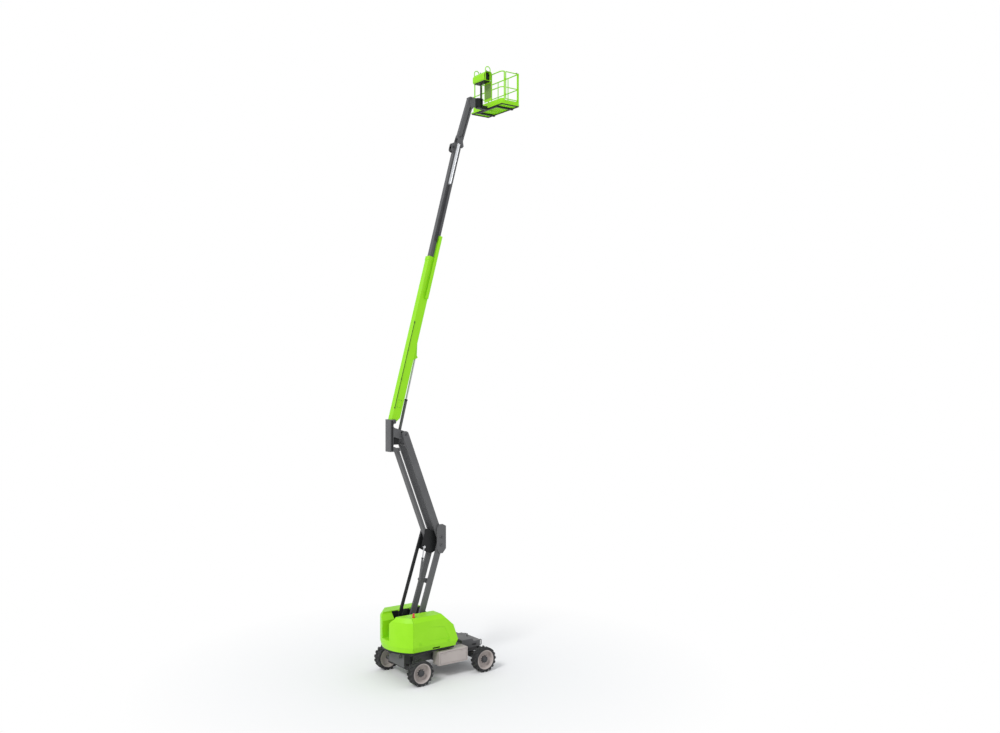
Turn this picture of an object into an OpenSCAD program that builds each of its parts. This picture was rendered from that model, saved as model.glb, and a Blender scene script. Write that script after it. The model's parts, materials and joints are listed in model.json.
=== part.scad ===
// Articulating boom lift, 20 m class, with its booms raised.
// Millimetres. +X is the way the booms reach, +Y its left, +Z up.
// The origin is on the ground, midway between the four wheels.

/* [Wheels] */
// Distance between the axles
wheelbase = 2500; // [1800:10:3200]
// Distance between the wheels' middle planes
track = 2146; // [1700:2:2600]
// Tyre diameter over the lugs
tyre_d = 820; // [600:5:1200]
// Tyre width
tyre_w = 315; // [200:5:450]
// Rim diameter at the flange
rim_d = 640; // [400:5:900]
// Depth of the tread lugs
lug_depth = 26; // [10:1:50]
// Lugs in each of a tyre's two rows
lug_count = 17; // [9:1:30]
// Width of a lug around the tyre
lug_w = 62; // [20:1:90]
// Radius of the spindles that carry the wheels
spindle_r = 60; // [30:1:90]
// Radius of the kingpins
kingpin_r = 32; // [15:1:60]
// Distance between the kingpins
kingpin_track = 1600; // [1200:10:2000]
// Length of a steering arm
steer_arm = 250; // [150:5:350]

/* [Chassis] */
// Half width of the main beam
beam_half_w = 400; // [250:5:600]
// Underside of the main beam above the ground
beam_z = 520; // [400:5:700]
// Top of the deck above the ground
deck_z = 900; // [700:5:1100]
// Length of the deck from end plate to end plate
chassis_len = 2960; // [2000:10:3600]
// Half width of the end plates
end_half_w = 480; // [300:5:620]
// Radius of the tie-down eyes
tie_r = 25; // [10:1:40]
// Thickness of the tie-down lugs
tie_t = 30; // [10:1:50]
// Rear end of the side boxes along X
side_box_x0 = -470; // [-600:5:-300]
// Front end of the side boxes along X
side_box_x1 = 660; // [400:5:800]
// Outer face of the side boxes
side_box_y = 1000; // [800:5:1100]

/* [Turntable] */
// Slew axis along X
slew_x = -650; // [-900:5:-300]
// Tail radius about the slew axis
tail_r = 1280; // [1000:5:1600]
// Half width over the hoods
turret_half_w = 1000; // [800:5:1200]
// Thickness of the slewing ring
ring_h = 65; // [40:1:100]
// Bore of the slewing ring, as a radius
ring_bore_r = 440; // [300:5:520]
// Outer radius of the slewing ring
ring_r = 560; // [400:5:640]
// Top of the hoods above the ground
hood_z = 2140; // [1900:5:2300]
// Wall of a hood
hood_t = 20; // [5:1:40]
// Half width of the slot between the hoods
slot_half_w = 400; // [350:5:500]

/* [Riser] */
// Lower arm pivot along X
lower_x = -800; // [-1000:5:-600]
// Lower arm pivot above the ground
lower_z = 1750; // [1600:5:1800]
// Lower arm between its pivots
lower_len = 2680; // [2000:10:3200]
// Lower arm angle above level
lower_angle = 72; // [60:0.5:75]
// Depth of a lower arm
lower_d = 200; // [120:2:210]
// Upper arm between its pivots
upper_len = 3740; // [3000:10:4200]
// Upper arm angle above level
upper_angle = 111; // [105:0.5:120]
// Depth of an upper arm
upper_d = 220; // [120:2:230]
// Depth of the levelling links
link_d = 100; // [60:2:110]
// Radius of the riser's main pins
riser_pin_r = 40; // [20:1:45]
// Radius of the riser's link pins
link_pin_r = 28; // [15:1:35]

/* [Main boom] */
// Main boom angle above level
boom_angle = 75; // [60:0.5:78]
// Main boom from its foot pin to its mouth
boom_len = 5710; // [4500:10:6500]
// Depth of the main boom
boom_d = 300; // [240:2:340]
// Width of the main boom
boom_w = 236; // [200:2:236]
// Wall of the main boom
boom_t = 12; // [5:1:20]
// Depth of the telescoping boom
tele_d = 230; // [160:2:240]
// Width of the telescoping boom
tele_w = 170; // [120:2:180]
// How far the telescoping boom reaches past the main boom's foot pin
tele_reach = 9850; // [8000:10:11000]
// Radius of the lift cylinder's barrel
lift_r = 48; // [30:1:50]

/* [Jib] */
// Jib angle above level
jib_angle = 72; // [60:0.5:75]
// Jib between its pivots
jib_len = 1470; // [1200:10:1700]
// Depth of the jib
jib_d = 136; // [80:2:140]
// Width of the jib
jib_w = 130; // [80:2:140]
// Radius of the jib's pins
jib_pin_r = 30; // [15:1:35]
// Radius of the platform rotator
rotator_r = 95; // [60:1:120]

/* [Platform] */
// Platform across the booms
platform_w = 1830; // [1200:10:2440]
// Platform along the booms
platform_d = 760; // [600:5:920]
// Floor frame's height
floor_h = 45; // [30:1:80]
// Top of the guard rail above the floor's underside
rail_h = 1140; // [1050:5:1200]
// Radius of the rail tubes
rail_r = 20; // [12:1:30]
// Height of the toe boards
toe_h = 150; // [100:5:200]

/* [Hidden] */
$fn = 48;
// One overrun for every cut
over = 10;
// Running clearance of a pin in its bore
run_gap = 0.05;
// Clearance between sliding or neighbouring bodies
slide_gap = 0.3;
// Clearance beside a moving lane
lane_gap = 5;
plate_t = 15;
lime = [0.55, 0.84, 0.12];
grey = [0.33, 0.34, 0.35];
black = [0.06, 0.06, 0.06];
tan_grey = [0.68, 0.64, 0.62];
silver = [0.75, 0.76, 0.78];
red = [0.8, 0.08, 0.06];

// Wheel places and sections
axle_x = wheelbase / 2;
wheel_y = track / 2;
tyre_r = tyre_d / 2;
tyre_hw = tyre_w / 2;
rim_r = rim_d / 2;
carcass_r = tyre_r - lug_depth;
sidewall_share = 0.45;
bead_in = 22;
shoulder_w = 34;
shoulder_h = 14;
lug_root = 14;
lug_len_share = 0.52;
lug_slant = 30;
rim_t = 22;
rim_hw = tyre_hw - bead_in / 2;
rim_disc_in = 15;
rim_disc_out = 45;
hub_r = 100;
hub_in = 70;
hub_out = 92;
hub_bore_out = 12;
hub_bolts = 10;
hub_bolt_r = 12;
hub_bolt_h = 16;
hub_bolt_pcr = 126;

// Axles, knuckles and tie rod
axle_hw = 85;
axle_half_h = 80;
axle_z0 = tyre_r - axle_half_h;
axle_z1 = tyre_r + axle_half_h;
axle_pivot_r = 45;
ear_t = 40;
ear_hx = 70;
kingpin_y = kingpin_track / 2;
ear_in = 140;
ear_out = 50;
ear_y0 = kingpin_y - ear_in;
ear_y1 = kingpin_y + ear_out;
knuckle_hx = 65;
knuckle_hy = 60;
knuckle_y0 = kingpin_y - knuckle_hy;
knuckle_y1 = kingpin_y + knuckle_hy;
steer_t = 30;
steer_w = 60;
tie_rod_r = 18;
tie_end_r = 28;
tie_end_h = 50;
lock_r = 50;
lock_rod_r = 26;
lock_y = 520;
lock_rod_h = 120;
hub_case_r = 112;
hub_case_y0 = 780;
diff_r = 165;
diff_case_r = 105;
spindle_end = wheel_y + hub_bore_out - run_gap;

// Chassis plates
beam_x = chassis_len / 2;
deck_t = 40;
deck_half_w = 560;
end_t = 25;
end_drop = 60;
saddle_t = 30;
saddle_hw = 120;
pedestal_r = 600;
lock_bracket_hx = 62;
side_box_y0 = 620;
side_box_z0 = 460;
side_box_z1 = 910;
side_box_door_gap = 12;
side_box_door_in = 40;
outrigger_t = 60;
outrigger_in = 70;
tie_lug_r = 52;
tie_lug_y = 330;
tie_lug_x = beam_x + end_t + tie_lug_r;
tie_lug_z = 800;
deck_pin_r = 22;
deck_pin_h = 120;
deck_pin_in = 160;
deck_rib_h = 160;
deck_slot_h = 70;
deck_slot_l = 180;
raised_x = [720, 1210];
raised_h = 95;
raised_slope = 60;

// Turntable, counterweight and hoods
base_z = deck_z + ring_h;
base_t = 65;
floor_z = base_z + base_t;
skirt_in = 60;
tail_split_x = -1450;
cheek_y0 = 305;
cheek_y1 = 335;
cheek_half_share = 0.55;
tower_y0 = 105;
tower_y1 = 120;
tower_half_w = 130;
tower_web_z = 1400;
notch_half_w = 220;
notch_z = 1350;
slot_step_z = 1900;
slot_slope_z = 2080;
hood_gap = 5;
hinge_r = 12;
hinge_bands = 5;
hinge_drop = 40;
hood_side_z = 2000;
hood_bevel = 95;
skirt_z = 1200;
skirt_bevel = 45;
nose_x = [-330, -210, 90, 270, 200];
nose_z = [hood_z, 2010, 1740, 1240, 1090];
recess_x = [-930, -250, -60, -860];
recess_z = [1810, 1730, 1320, 1360];
recess_depth = 14;
hand_x = [-700, -420];
hand_low = 20;
hand_h = 50;
beacon_x = -1330;
beacon_y = -800;
beacon_r = 46;
beacon_base_h = 22;
beacon_h = 110;
pack_x = [-1250, -300];
pack_y = [470, 900];
pack_z = 1760;
tank_x = [-1180, -350];
tank_z = 1640;

// Riser pivots in the XZ plane
function polar(angle) = [cos(angle), sin(angle)];
function turn_left(v) = [-v[1], v[0]];
lower_foot = [lower_x, lower_z];
lower_head = lower_foot + lower_len * polar(lower_angle);
level_offset = [-430, 480];
link_foot = lower_foot + level_offset;
link_head = lower_head + level_offset;
fold_offset = [10, 260];
upper_foot = lower_head + fold_offset;
upper_head = upper_foot + upper_len * polar(upper_angle);
tie_offset = [-215, -500];
upper_link_foot = upper_foot + tie_offset;
upper_link_head = upper_head + tie_offset;
lower_lane = [215, 295];
link_lane = [125, 185];
upper_lane = [200, 270];
upper_link_hw = 100;
cross_tube_r = 44;
cross_tube_top = 360;
// Riser cylinder on the right of the middle lane
ram_y0 = -190;
ram_y1 = -126;
ram_back = 1277;
ram_side = 359;
ram_top_offset = [-560, -50];
ram_r = 34;
ram_rod_r = 20;
ram_eye_r = 44;
ram_pin_r = 25;
ram_barrel_share = 0.66;
ram_bracket_y0 = -122;
ram_bracket_y1 = -107;
ram_bracket_hw = 90;
lower_dir = polar(lower_angle);
ram_foot = lower_head - ram_back * lower_dir + ram_side * turn_left(lower_dir);
ram_head = lower_head + ram_top_offset;
ram_vec = ram_head - ram_foot;
ram_len = norm(ram_vec);
ram_angle = atan2(ram_vec[1], ram_vec[0]);
ram_y = (ram_y0 + ram_y1) / 2;
// Mid link
mid_out_y0 = 305;
mid_out_y1 = 335;
mid_front = 140;
mid_front_t = 60;
mid_low = 300;
mid_high = 680;
mid_back = 150;
mid_nose = 70;
mid_in_y0 = 105;
mid_in_y1 = 120;
mid_boss_r = 62;
mid_notch_hw = 250;
mid_notch_low = 450;
pin_boss_r = 75;
pin_boss_y1 = 195;
pin_head_t = 12;
pin_head_r = 58;

// Upright between riser and main boom
boom_foot_offset = [-380, 430];
boom_foot = upper_head + boom_foot_offset;
lift_foot_offset = [-98, 70];
lift_foot = upper_head + lift_foot_offset;
upright_y0 = 125;
upright_y1 = 157;
upright_back = 528;
upright_low = 560;
upright_high = 500;
upright_front = 70;
upright_t = 45;
boom_pin_r = 40;

// Main boom, measured along it and square to it from the foot pin
boom_dir = polar(boom_angle);
boom_right = -turn_left(boom_dir);
boom_back = 86;
boom_front = boom_d - boom_back;
boom_start = 170;
boom_foot_r = 84;
boom_foot_t = 60;
collar_l = 140;
collar_out = 2;
collar_lip = 10;
lift_head_s = 2281;
lift_head_q = 322;
lift_bracket_y0 = 58;
lift_bracket_y1 = 78;
lift_bracket_s0 = 130;
lift_bracket_s1 = 560;
lift_bracket_r = 56;
lift_rod_r = 30;
lift_eye_r = 46;
lift_eye_hw = 44;
lift_pin_r = 28;
lift_barrel_share = 0.43;
lift_head = boom_foot + lift_head_s * boom_dir + lift_head_q * boom_right;
lift_vec = lift_head - lift_foot;
lift_len = norm(lift_vec);
lift_angle = atan2(lift_vec[1], lift_vec[0]);
tray_back = 1446;
tray_out = 760;
tray_s0 = boom_len - tray_back;
tray_s1 = boom_len + tray_out;
tray_q0 = 70;
tray_q1 = 190;
tray_w = 82;
tray_t = 5;

// Telescoping boom
tele_mid = boom_front - boom_d / 2;
tele_lap = 1060;
tele_tail_s = boom_len - tele_lap;
tele_end_gap = 150;
tip_r = 70;
tip_t = 20;
tip_slot_gap = 8;
tele_t = 10;
track_back = 3550;
track_run = 2000;
track_s0 = tele_reach - track_back;
track_s1 = track_s0 + track_run;
track_pitch = 62;
track_gap = 10;
track_y0 = -186;
track_y1 = -128;
track_q = 0;
track_h = 62;
track_core_h = 40;
push_r = 24;
push_back = 50;
push_s1 = tele_reach - push_back;
push_q = 10;
track_arm_back = 250;
track_arm_l = 120;
track_arm_s1 = tele_reach - track_arm_back;
track_arm_s0 = track_arm_s1 - track_arm_l;
track_arm_h = 60;

// Jib
jib_knee = boom_foot + tele_reach * boom_dir + tele_mid * boom_right;
jib_foot_offset = [40, 223];
jib_foot = jib_knee + jib_foot_offset;
jib_head_pin = jib_foot + jib_len * polar(jib_angle);
jib_tie_offset = [60, -320];
jib_link_foot = jib_foot + jib_tie_offset;
jib_link_head = jib_head_pin + jib_tie_offset;
jib_link_d = 60;
jib_link_hw = 40;
jib_link_eye_r = 40;
jib_cheek_y0 = 92;
jib_cheek_y1 = 107;
jib_cheek_r = 78;
head_cheek_y0 = 70;
head_cheek_y1 = 86;
head_cheek_r = 66;
rotator_offset = 366;
rotator_x = jib_head_pin[0] + rotator_offset;
rotator_drop = 268;
rotator_rise = 42;
rotator_z0 = jib_head_pin[1] - rotator_drop;
rotator_z1 = jib_head_pin[1] + rotator_rise;
rotator_cap = 30;
rotator_pin_r = 40;
head_block_in = 120;
head_block_x0 = jib_head_pin[0] + head_block_in;

// Platform
platform_reach = 350;
platform_back = rotator_x + platform_reach;
platform_front = platform_back + platform_d;
platform_hw = platform_w / 2;
platform_drop = 218;
platform_z = jib_head_pin[1] - platform_drop;
floor_top = platform_z + floor_h;
support_hw = 82;
support_gap = 15;
support_t = 30;
bearer_y = 500;
bearer_w = 80;
bearer_h = 60;
floor_edge = 50;
floor_bars = 17;
floor_bar_w = 24;
toe_t = 5;
rail_top = platform_z + rail_h - rail_r;
rail_mid = (rail_top + floor_top) / 2;
rail_in = 22;
rail_step = 2;
gate_post_in = 60;
rail_bend = 110;
gate_clear = 8;
gate_tube_r = 17;
gate_low = 120;
gate_eye_t = 9;
gate_eye_h = 40;
console_in = 30;
console_x = [rotator_x + console_in, platform_back + over];
console_y = [-330, 370];
console_drop = 230;
console_rise = 90;
console_z = [rail_top - console_drop, rail_top + console_rise];
console_slope = 130;
console_leg = 60;
console_round = 60;
console_t = 8;
hoop_r = 16;
hoop_rise = 60;
panel_y = [-320, 100];
panel_rise = 220;
panel_z = [platform_z + panel_rise, console_z[0] + over];
panel_t = 12;

// A box from its lowest to its highest corner
module box(lo, hi) { translate(lo) cube(hi - lo); }

// A round bar along Y
module bar_y(p, y0, y1, r) {
    translate([p[0], y1, p[1]]) rotate([90, 0, 0]) cylinder(h = y1 - y0, r = r);
}

// A round bar along Z
module bar_z(x, y, z0, z1, r) { translate([x, y, z0]) cylinder(h = z1 - z0, r = r); }

// A round bar along X
module bar_x(y, z, x0, x1, r) { translate([x0, y, z]) rotate([0, 90, 0]) cylinder(h = x1 - x0, r = r); }

// A plate that stands in the XZ plane
module plate_y(points, y0, y1) {
    translate([0, y1, 0]) rotate([90, 0, 0]) linear_extrude(y1 - y0) polygon(points);
}

module both_sides() {
    children();
    mirror([0, 1, 0]) children();
}

module on_side(side) {
    if (side > 0) children();
    else mirror([0, 1, 0]) children();
}

// Local X runs along a boom at this angle, local Z square to it
module along(p, angle) { translate([p[0], 0, p[1]]) rotate([0, -angle, 0]) children(); }

// A bar with round ends and a pin bore at each end
module strut(length, depth, y0, y1, pin_r) {
    difference() {
        union() {
            box([0, y0, -depth / 2], [length, y1, depth / 2]);
            for (x = [0, length]) bar_y([x, 0], y0, y1, depth / 2);
        }
        for (x = [0, length]) bar_y([x, 0], y0 - over, y1 + over, pin_r + run_gap);
    }
}

// Wheels
module tyre_shape() {
    half = [[rim_r, tyre_hw - bead_in],
            [rim_r + (carcass_r - rim_r) * sidewall_share, tyre_hw],
            [carcass_r - shoulder_h, tyre_hw],
            [carcass_r, tyre_hw - shoulder_w]];
    last = len(half) - 1;
    profile = concat(half, [for (i = [last:-1:0]) [half[i][0], -half[i][1]]]);
    lug_len = tyre_w * lug_len_share;
    rotate([90, 0, 0]) rotate_extrude() polygon(profile);
    intersection() {
        rotate([90, 0, 0]) cylinder(r = tyre_r, h = tyre_w, center = true);
        for (side = [-1, 1], i = [0:lug_count - 1])
            rotate([0, (i + side / 4) * 360 / lug_count, 0])
                translate([0, side * tyre_hw, carcass_r - lug_root])
                    rotate([0, 0, -side * lug_slant])
                        translate([-lug_w / 2, side > 0 ? -lug_len : -over, 0])
                            cube([lug_w, lug_len + over, lug_depth + 2 * lug_root]);
    }
}

module rim_shape() {
    barrel_in = rim_r - rim_t;
    barrel_out = rim_r - run_gap;
    bore = spindle_r + run_gap;
    rotate([-90, 0, 0]) rotate_extrude() polygon([
        [bore, -hub_in], [hub_r, -hub_in], [hub_r, rim_disc_in], [barrel_in, rim_disc_in],
        [barrel_in, -rim_hw], [barrel_out, -rim_hw], [barrel_out, rim_hw], [barrel_in, rim_hw],
        [barrel_in, rim_disc_out], [hub_r, rim_disc_out], [hub_r, hub_out], [0, hub_out],
        [0, hub_bore_out], [bore, hub_bore_out]]);
    for (i = [0:hub_bolts - 1])
        rotate([0, i * 360 / hub_bolts, 0])
            bar_y([hub_bolt_pcr, 0], rim_disc_in, rim_disc_out + hub_bolt_h, hub_bolt_r);
}

module at_wheel(end, side) {
    translate([end * axle_x, 0, tyre_r]) on_side(side) translate([0, wheel_y, 0]) children();
}

module tyre_rear_right() { color(black) at_wheel(-1, -1) tyre_shape(); }
module rim_rear_right() { color(tan_grey) at_wheel(-1, -1) rim_shape(); }
module tyre_rear_left() { color(black) at_wheel(-1, 1) tyre_shape(); }
module rim_rear_left() { color(tan_grey) at_wheel(-1, 1) rim_shape(); }
module tyre_front_right() { color(black) at_wheel(1, -1) tyre_shape(); }
module rim_front_right() { color(tan_grey) at_wheel(1, -1) rim_shape(); }
module tyre_front_left() { color(black) at_wheel(1, 1) tyre_shape(); }
module rim_front_left() { color(tan_grey) at_wheel(1, 1) rim_shape(); }

// Rear axle: it rocks on a pin under the beam, held by two lock cylinders
module steer_axle() {
    color(black) difference() {
        union() {
            box([-axle_x - axle_hw, -ear_y0, axle_z0], [-axle_x + axle_hw, ear_y0, axle_z1]);
            both_sides() {
                for (z = [axle_z0 - ear_t, axle_z1])
                    box([-axle_x - ear_hx, ear_y0 - ear_t, z], [-axle_x + ear_hx, ear_y1, z + ear_t]);
                bar_z(-axle_x, kingpin_y, axle_z0 - ear_t, axle_z1 + ear_t, kingpin_r);
                bar_z(-axle_x, lock_y, axle_z1, axle_z1 + lock_rod_h, lock_rod_r);
                bar_z(-axle_x, lock_y, axle_z1 + lock_rod_h, deck_z - 2 * deck_t, lock_r);
            }
        }
        bar_x(0, tyre_r, -axle_x - axle_hw - over, -axle_x + axle_hw + over, axle_pivot_r + run_gap);
    }
}

module knuckle() {
    difference() {
        union() {
            box([-axle_x - knuckle_hx, knuckle_y0, axle_z0 + slide_gap],
                [-axle_x + knuckle_hx, knuckle_y1, axle_z1 - slide_gap]);
            bar_y([-axle_x, tyre_r], knuckle_y1, spindle_end, spindle_r);
            box([-axle_x, kingpin_y - steer_w / 2, tyre_r],
                [-axle_x + steer_arm, kingpin_y + steer_w / 2, tyre_r + steer_t]);
            bar_z(-axle_x + steer_arm, kingpin_y, tyre_r, tyre_r + steer_t, steer_w / 2);
        }
        bar_z(-axle_x, kingpin_y, axle_z0 - over, axle_z1 + over, kingpin_r + run_gap);
    }
}

module knuckle_right() { color(grey) on_side(-1) knuckle(); }
module knuckle_left() { color(grey) knuckle(); }

module tie_rod() {
    x = -axle_x + steer_arm;
    z = tyre_r - tie_end_h / 2;
    color(black) {
        bar_y([x, z], -kingpin_y, kingpin_y, tie_rod_r);
        for (y = [-kingpin_y, kingpin_y]) bar_z(x, y, tyre_r - tie_end_h, tyre_r, tie_end_r);
    }
}

// Front axle: bolted to the beam, with a drive casing and hub cases
module drive_axle() {
    color(black) {
        box([axle_x - axle_hw, -hub_case_y0, axle_z0], [axle_x + axle_hw, hub_case_y0, axle_z1]);
        bar_x(0, tyre_r, axle_x - diff_r, axle_x + diff_r, diff_case_r);
        both_sides() {
            bar_y([axle_x, tyre_r], hub_case_y0, wheel_y - hub_in - lane_gap, hub_case_r);
            bar_y([axle_x, tyre_r], hub_case_y0, spindle_end, spindle_r);
            box([axle_x - axle_hw, saddle_hw * 2, axle_z1], [axle_x + axle_hw, saddle_hw * 3, beam_z]);
        }
    }
}

module tie_lug(end) {
    difference() {
        union() {
            box([beam_x + end_t, tie_lug_y - tie_t / 2, tie_lug_z - tie_lug_r],
                [tie_lug_x, tie_lug_y + tie_t / 2, tie_lug_z + tie_lug_r]);
            bar_y([tie_lug_x, tie_lug_z], tie_lug_y - tie_t / 2, tie_lug_y + tie_t / 2, tie_lug_r);
        }
        bar_y([tie_lug_x, tie_lug_z], tie_lug_y - tie_t, tie_lug_y + tie_t, tie_r);
    }
}

module chassis_frame() {
    deck_low = deck_z - deck_t;
    color(grey) {
        box([-beam_x, -beam_half_w, beam_z], [beam_x, beam_half_w, deck_z]);
        box([side_box_x0, -deck_half_w, deck_low], [beam_x, deck_half_w, deck_z]);
        bar_z(slew_x, 0, deck_low, deck_z, pedestal_r);
        // End plates with tie-down lugs
        for (flip = [0, 1]) mirror([flip, 0, 0]) {
            box([beam_x, -end_half_w, beam_z - end_drop], [beam_x + end_t, end_half_w, deck_z]);
            both_sides() tie_lug();
        }
        // Saddles and pin that the rear axle rocks on
        for (x = [-axle_x - axle_hw - saddle_t, -axle_x + axle_hw])
            box([x, -saddle_hw, tyre_r - axle_pivot_r], [x + saddle_t, saddle_hw, beam_z]);
        bar_x(0, tyre_r, -axle_x - axle_hw - saddle_t, -axle_x + axle_hw + saddle_t, axle_pivot_r);
        both_sides() {
            // Brackets over the axle lock cylinders
            box([-axle_x - lock_bracket_hx, beam_half_w, deck_low - deck_t],
                [-axle_x + lock_bracket_hx, lock_y + lock_bracket_hx, deck_low]);
            // Outriggers that carry the side boxes
            for (x = [side_box_x0 + outrigger_in, side_box_x1 - outrigger_in - outrigger_t])
                box([x, beam_half_w, beam_z], [x + outrigger_t, side_box_y0, deck_low]);
        }
        // Ribs with a slot beside the deck, and the boom rest pin
        both_sides() difference() {
            box([side_box_x1, deck_half_w - plate_t, deck_low - deck_rib_h],
                [beam_x, deck_half_w, deck_low]);
            box([beam_x - deck_pin_in - deck_slot_l, deck_half_w - plate_t - over,
                 deck_low - deck_slot_h - deck_t],
                [beam_x - deck_pin_in, deck_half_w + over, deck_low - deck_t]);
        }
        bar_z(beam_x - deck_pin_in, 0, deck_z, deck_z + deck_pin_h, deck_pin_r);
        // Raised deck ahead of the turret, with a sloped front end
        plate_y([[raised_x[0], deck_z], [raised_x[1], deck_z],
                 [raised_x[1] - raised_slope, deck_z + raised_h], [raised_x[0], deck_z + raised_h]],
                -deck_half_w, deck_half_w);
    }
}

// A side box's door, inset from the box's edges
module door_panel(inset, y0, y1) {
    box([side_box_x0 + inset, y0, side_box_z0 + inset], [side_box_x1 - inset, y1, side_box_z1 - inset]);
}

module side_boxes() {
    color(tan_grey) both_sides() difference() {
        box([side_box_x0, side_box_y0, side_box_z0], [side_box_x1, side_box_y, side_box_z1]);
        // Seam round the door
        difference() {
            door_panel(side_box_door_in, side_box_y - side_box_door_gap, side_box_y + over);
            door_panel(side_box_door_in + side_box_door_gap, side_box_y0, side_box_y + 2 * over);
        }
    }
}

module slew_ring() {
    color(black) difference() {
        bar_z(slew_x, 0, deck_z, base_z, ring_r);
        bar_z(slew_x, 0, deck_z - over, base_z + over, ring_bore_r);
    }
}

// The tail's plan: round at the back, flat at the sides
module tail_plan(z0, z1, inset, x0, x1) {
    intersection() {
        bar_z(slew_x, 0, z0, z1, tail_r - inset, $fn = 240);
        box([x0, -turret_half_w + inset, z0 - over], [x1, turret_half_w - inset, z1 + over]);
    }
}

// Turntable: base plate, arm cheeks, link tower and the walls that the hoods hinge on
module turntable() {
    cheek_r = lower_d / 2;
    cheek = [[tail_split_x, floor_z], [lower_x + 3 * cheek_r, floor_z], [lower_x + cheek_r, lower_z],
             [lower_x + cheek_r / 2, lower_z + cheek_r], [lower_x - cheek_r / 2, lower_z + cheek_r],
             [lower_x - cheek_r, lower_z], [tail_split_x, (lower_z + floor_z) / 2]];
    tower = [[link_foot[0] - tower_half_w, floor_z], [link_foot[0] + tower_half_w * 2, floor_z],
             [link_foot[0] + link_d / 2, link_foot[1] + link_d / 4],
             [link_foot[0] + link_d / 4, link_foot[1] + link_d / 2],
             [link_foot[0] - link_d / 2, link_foot[1] + link_d / 2],
             [link_foot[0] - tower_half_w, link_foot[1] - tower_half_w]];
    wall_y0 = slot_half_w - plate_t;
    hinge_z = hood_z - hinge_drop;
    wall = [[tail_split_x, floor_z], [nose_x[4] - hood_t, floor_z], [nose_x[3] - 2 * hood_t, nose_z[3]],
            [nose_x[2] - 2 * hood_t, nose_z[2]], [nose_x[1] - hood_t, nose_z[1] - 2 * hood_t],
            [nose_x[0], hinge_z - hinge_r], [tail_split_x, hinge_z - hinge_r]];
    color(grey) {
        tail_plan(base_z, floor_z, skirt_in, slew_x - tail_r, nose_x[4]);
        bar_z(slew_x, 0, deck_z + slide_gap, base_z, ring_bore_r - run_gap);
        both_sides() {
            plate_y(cheek, cheek_y0, cheek_y1);
            plate_y(tower, tower_y0, tower_y1);
            plate_y(wall, wall_y0, slot_half_w);
            hood_hinge(0);
            hinge_leaves(0, wall_y0 - slot_half_w, hinge_r / 4, hinge_drop + 2 * hinge_r, hinge_drop);
        }
        box([link_foot[0] - tower_half_w, -tower_y0, floor_z],
            [link_foot[0] - tower_half_w + plate_t, tower_y0, tower_web_z]);
        // Stub pins, so that the upper link can pass between the arms
        both_sides() {
            bar_y(lower_foot, lower_lane[0] - lane_gap, cheek_y1 + pin_head_t, riser_pin_r);
            bar_y(lower_foot, cheek_y1, cheek_y1 + pin_head_t, pin_head_r);
        }
        bar_y(link_foot, tower_y0, link_lane[1] + lane_gap, link_pin_r);
    }
}

// Every other band of a hood's hinge
module hood_hinge(first) {
    x0 = tail_split_x + hood_gap;
    band = (nose_x[0] - x0) / hinge_bands;
    hinge_z = hood_z - hinge_drop;
    for (i = [first:2:hinge_bands - 1])
        bar_x(slot_half_w, hinge_z, x0 + i * band + slide_gap, x0 + (i + 1) * band - slide_gap, hinge_r);
}

// Leaves that join a hinge's bands to what they carry, measured from the hinge and the hood's top
module hinge_leaves(first, y0, y1, low, high) {
    x0 = tail_split_x + hood_gap;
    band = (nose_x[0] - x0) / hinge_bands;
    for (i = [first:2:hinge_bands - 1])
        box([x0 + i * band + slide_gap, slot_half_w + y0, hood_z - low],
            [x0 + (i + 1) * band - slide_gap, slot_half_w + y1, hood_z - high]);
}

// Tail with a chamfered top edge and a skirt that draws in
module tail_body() {
    translate([slew_x, 0, 0]) rotate_extrude($fn = 240) polygon([
        [0, floor_z], [tail_r - skirt_bevel, floor_z], [tail_r, skirt_z], [tail_r, hood_side_z],
        [tail_r - hood_bevel, hood_z], [0, hood_z]]);
}

module counterweight() {
    // Room for the folded riser: a notch that widens to the slot between the hoods
    notch = [[notch_half_w, notch_z], [notch_half_w, slot_step_z], [slot_half_w, slot_slope_z],
             [slot_half_w, hood_z + over]];
    color(lime) difference() {
        intersection() {
            tail_body();
            plate_x(hood_section(0), slew_x - tail_r - over, tail_split_x, true);
        }
        plate_x(notch, slew_x - tail_r - over, tail_split_x + over, true);
    }
}

// Outline of a hood across the machine, inset by its wall
function hood_section(t) = [
    [turret_half_w - skirt_bevel - t, floor_z - (t > 0 ? over : 0)],
    [turret_half_w - t, skirt_z],
    [turret_half_w - t, hood_side_z - t / 2],
    [turret_half_w - hood_bevel - t / 2, hood_z - t]];

// A prism along X from half an outline, with its mirror half if whole
module plate_x(half, x0, x1, whole) {
    inner = whole ? [for (i = [len(half) - 1:-1:0]) [-half[i][0], half[i][1]]]
                  : [[slot_half_w + hood_gap - (half[0][1] < floor_z ? over : 0), half[len(half) - 1][1]],
                     [slot_half_w + hood_gap - (half[0][1] < floor_z ? over : 0), half[0][1]]];
    translate([x0, 0, 0]) rotate([90, 0, 90]) linear_extrude(x1 - x0) polygon(concat(half, inner));
}

module hood_body(t) {
    low = floor_z - (t > 0 ? over : 0);
    x0 = tail_split_x + hood_gap + t;
    side = concat([[x0, low], [x0, hood_z - t]],
                  [for (i = [0:len(nose_x) - 1])
                       [nose_x[i] - t, nose_z[i] - (i == 0 ? t : i < 3 ? t / 2 : 0)]],
                  [[nose_x[4] - t, low]]);
    intersection() {
        plate_y(side, slot_half_w - over, turret_half_w + over);
        plate_x(hood_section(t), x0, nose_x[3], false);
    }
}

// A cut beside the hood that deepens from one end to the other
module bar_wedge(x0, x1, depth) {
    translate([0, 0, floor_z]) linear_extrude(hood_z - floor_z) polygon([
        [x0, turret_half_w], [x1, turret_half_w - depth], [x1, turret_half_w + over],
        [x0, turret_half_w + over]]);
}

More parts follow.
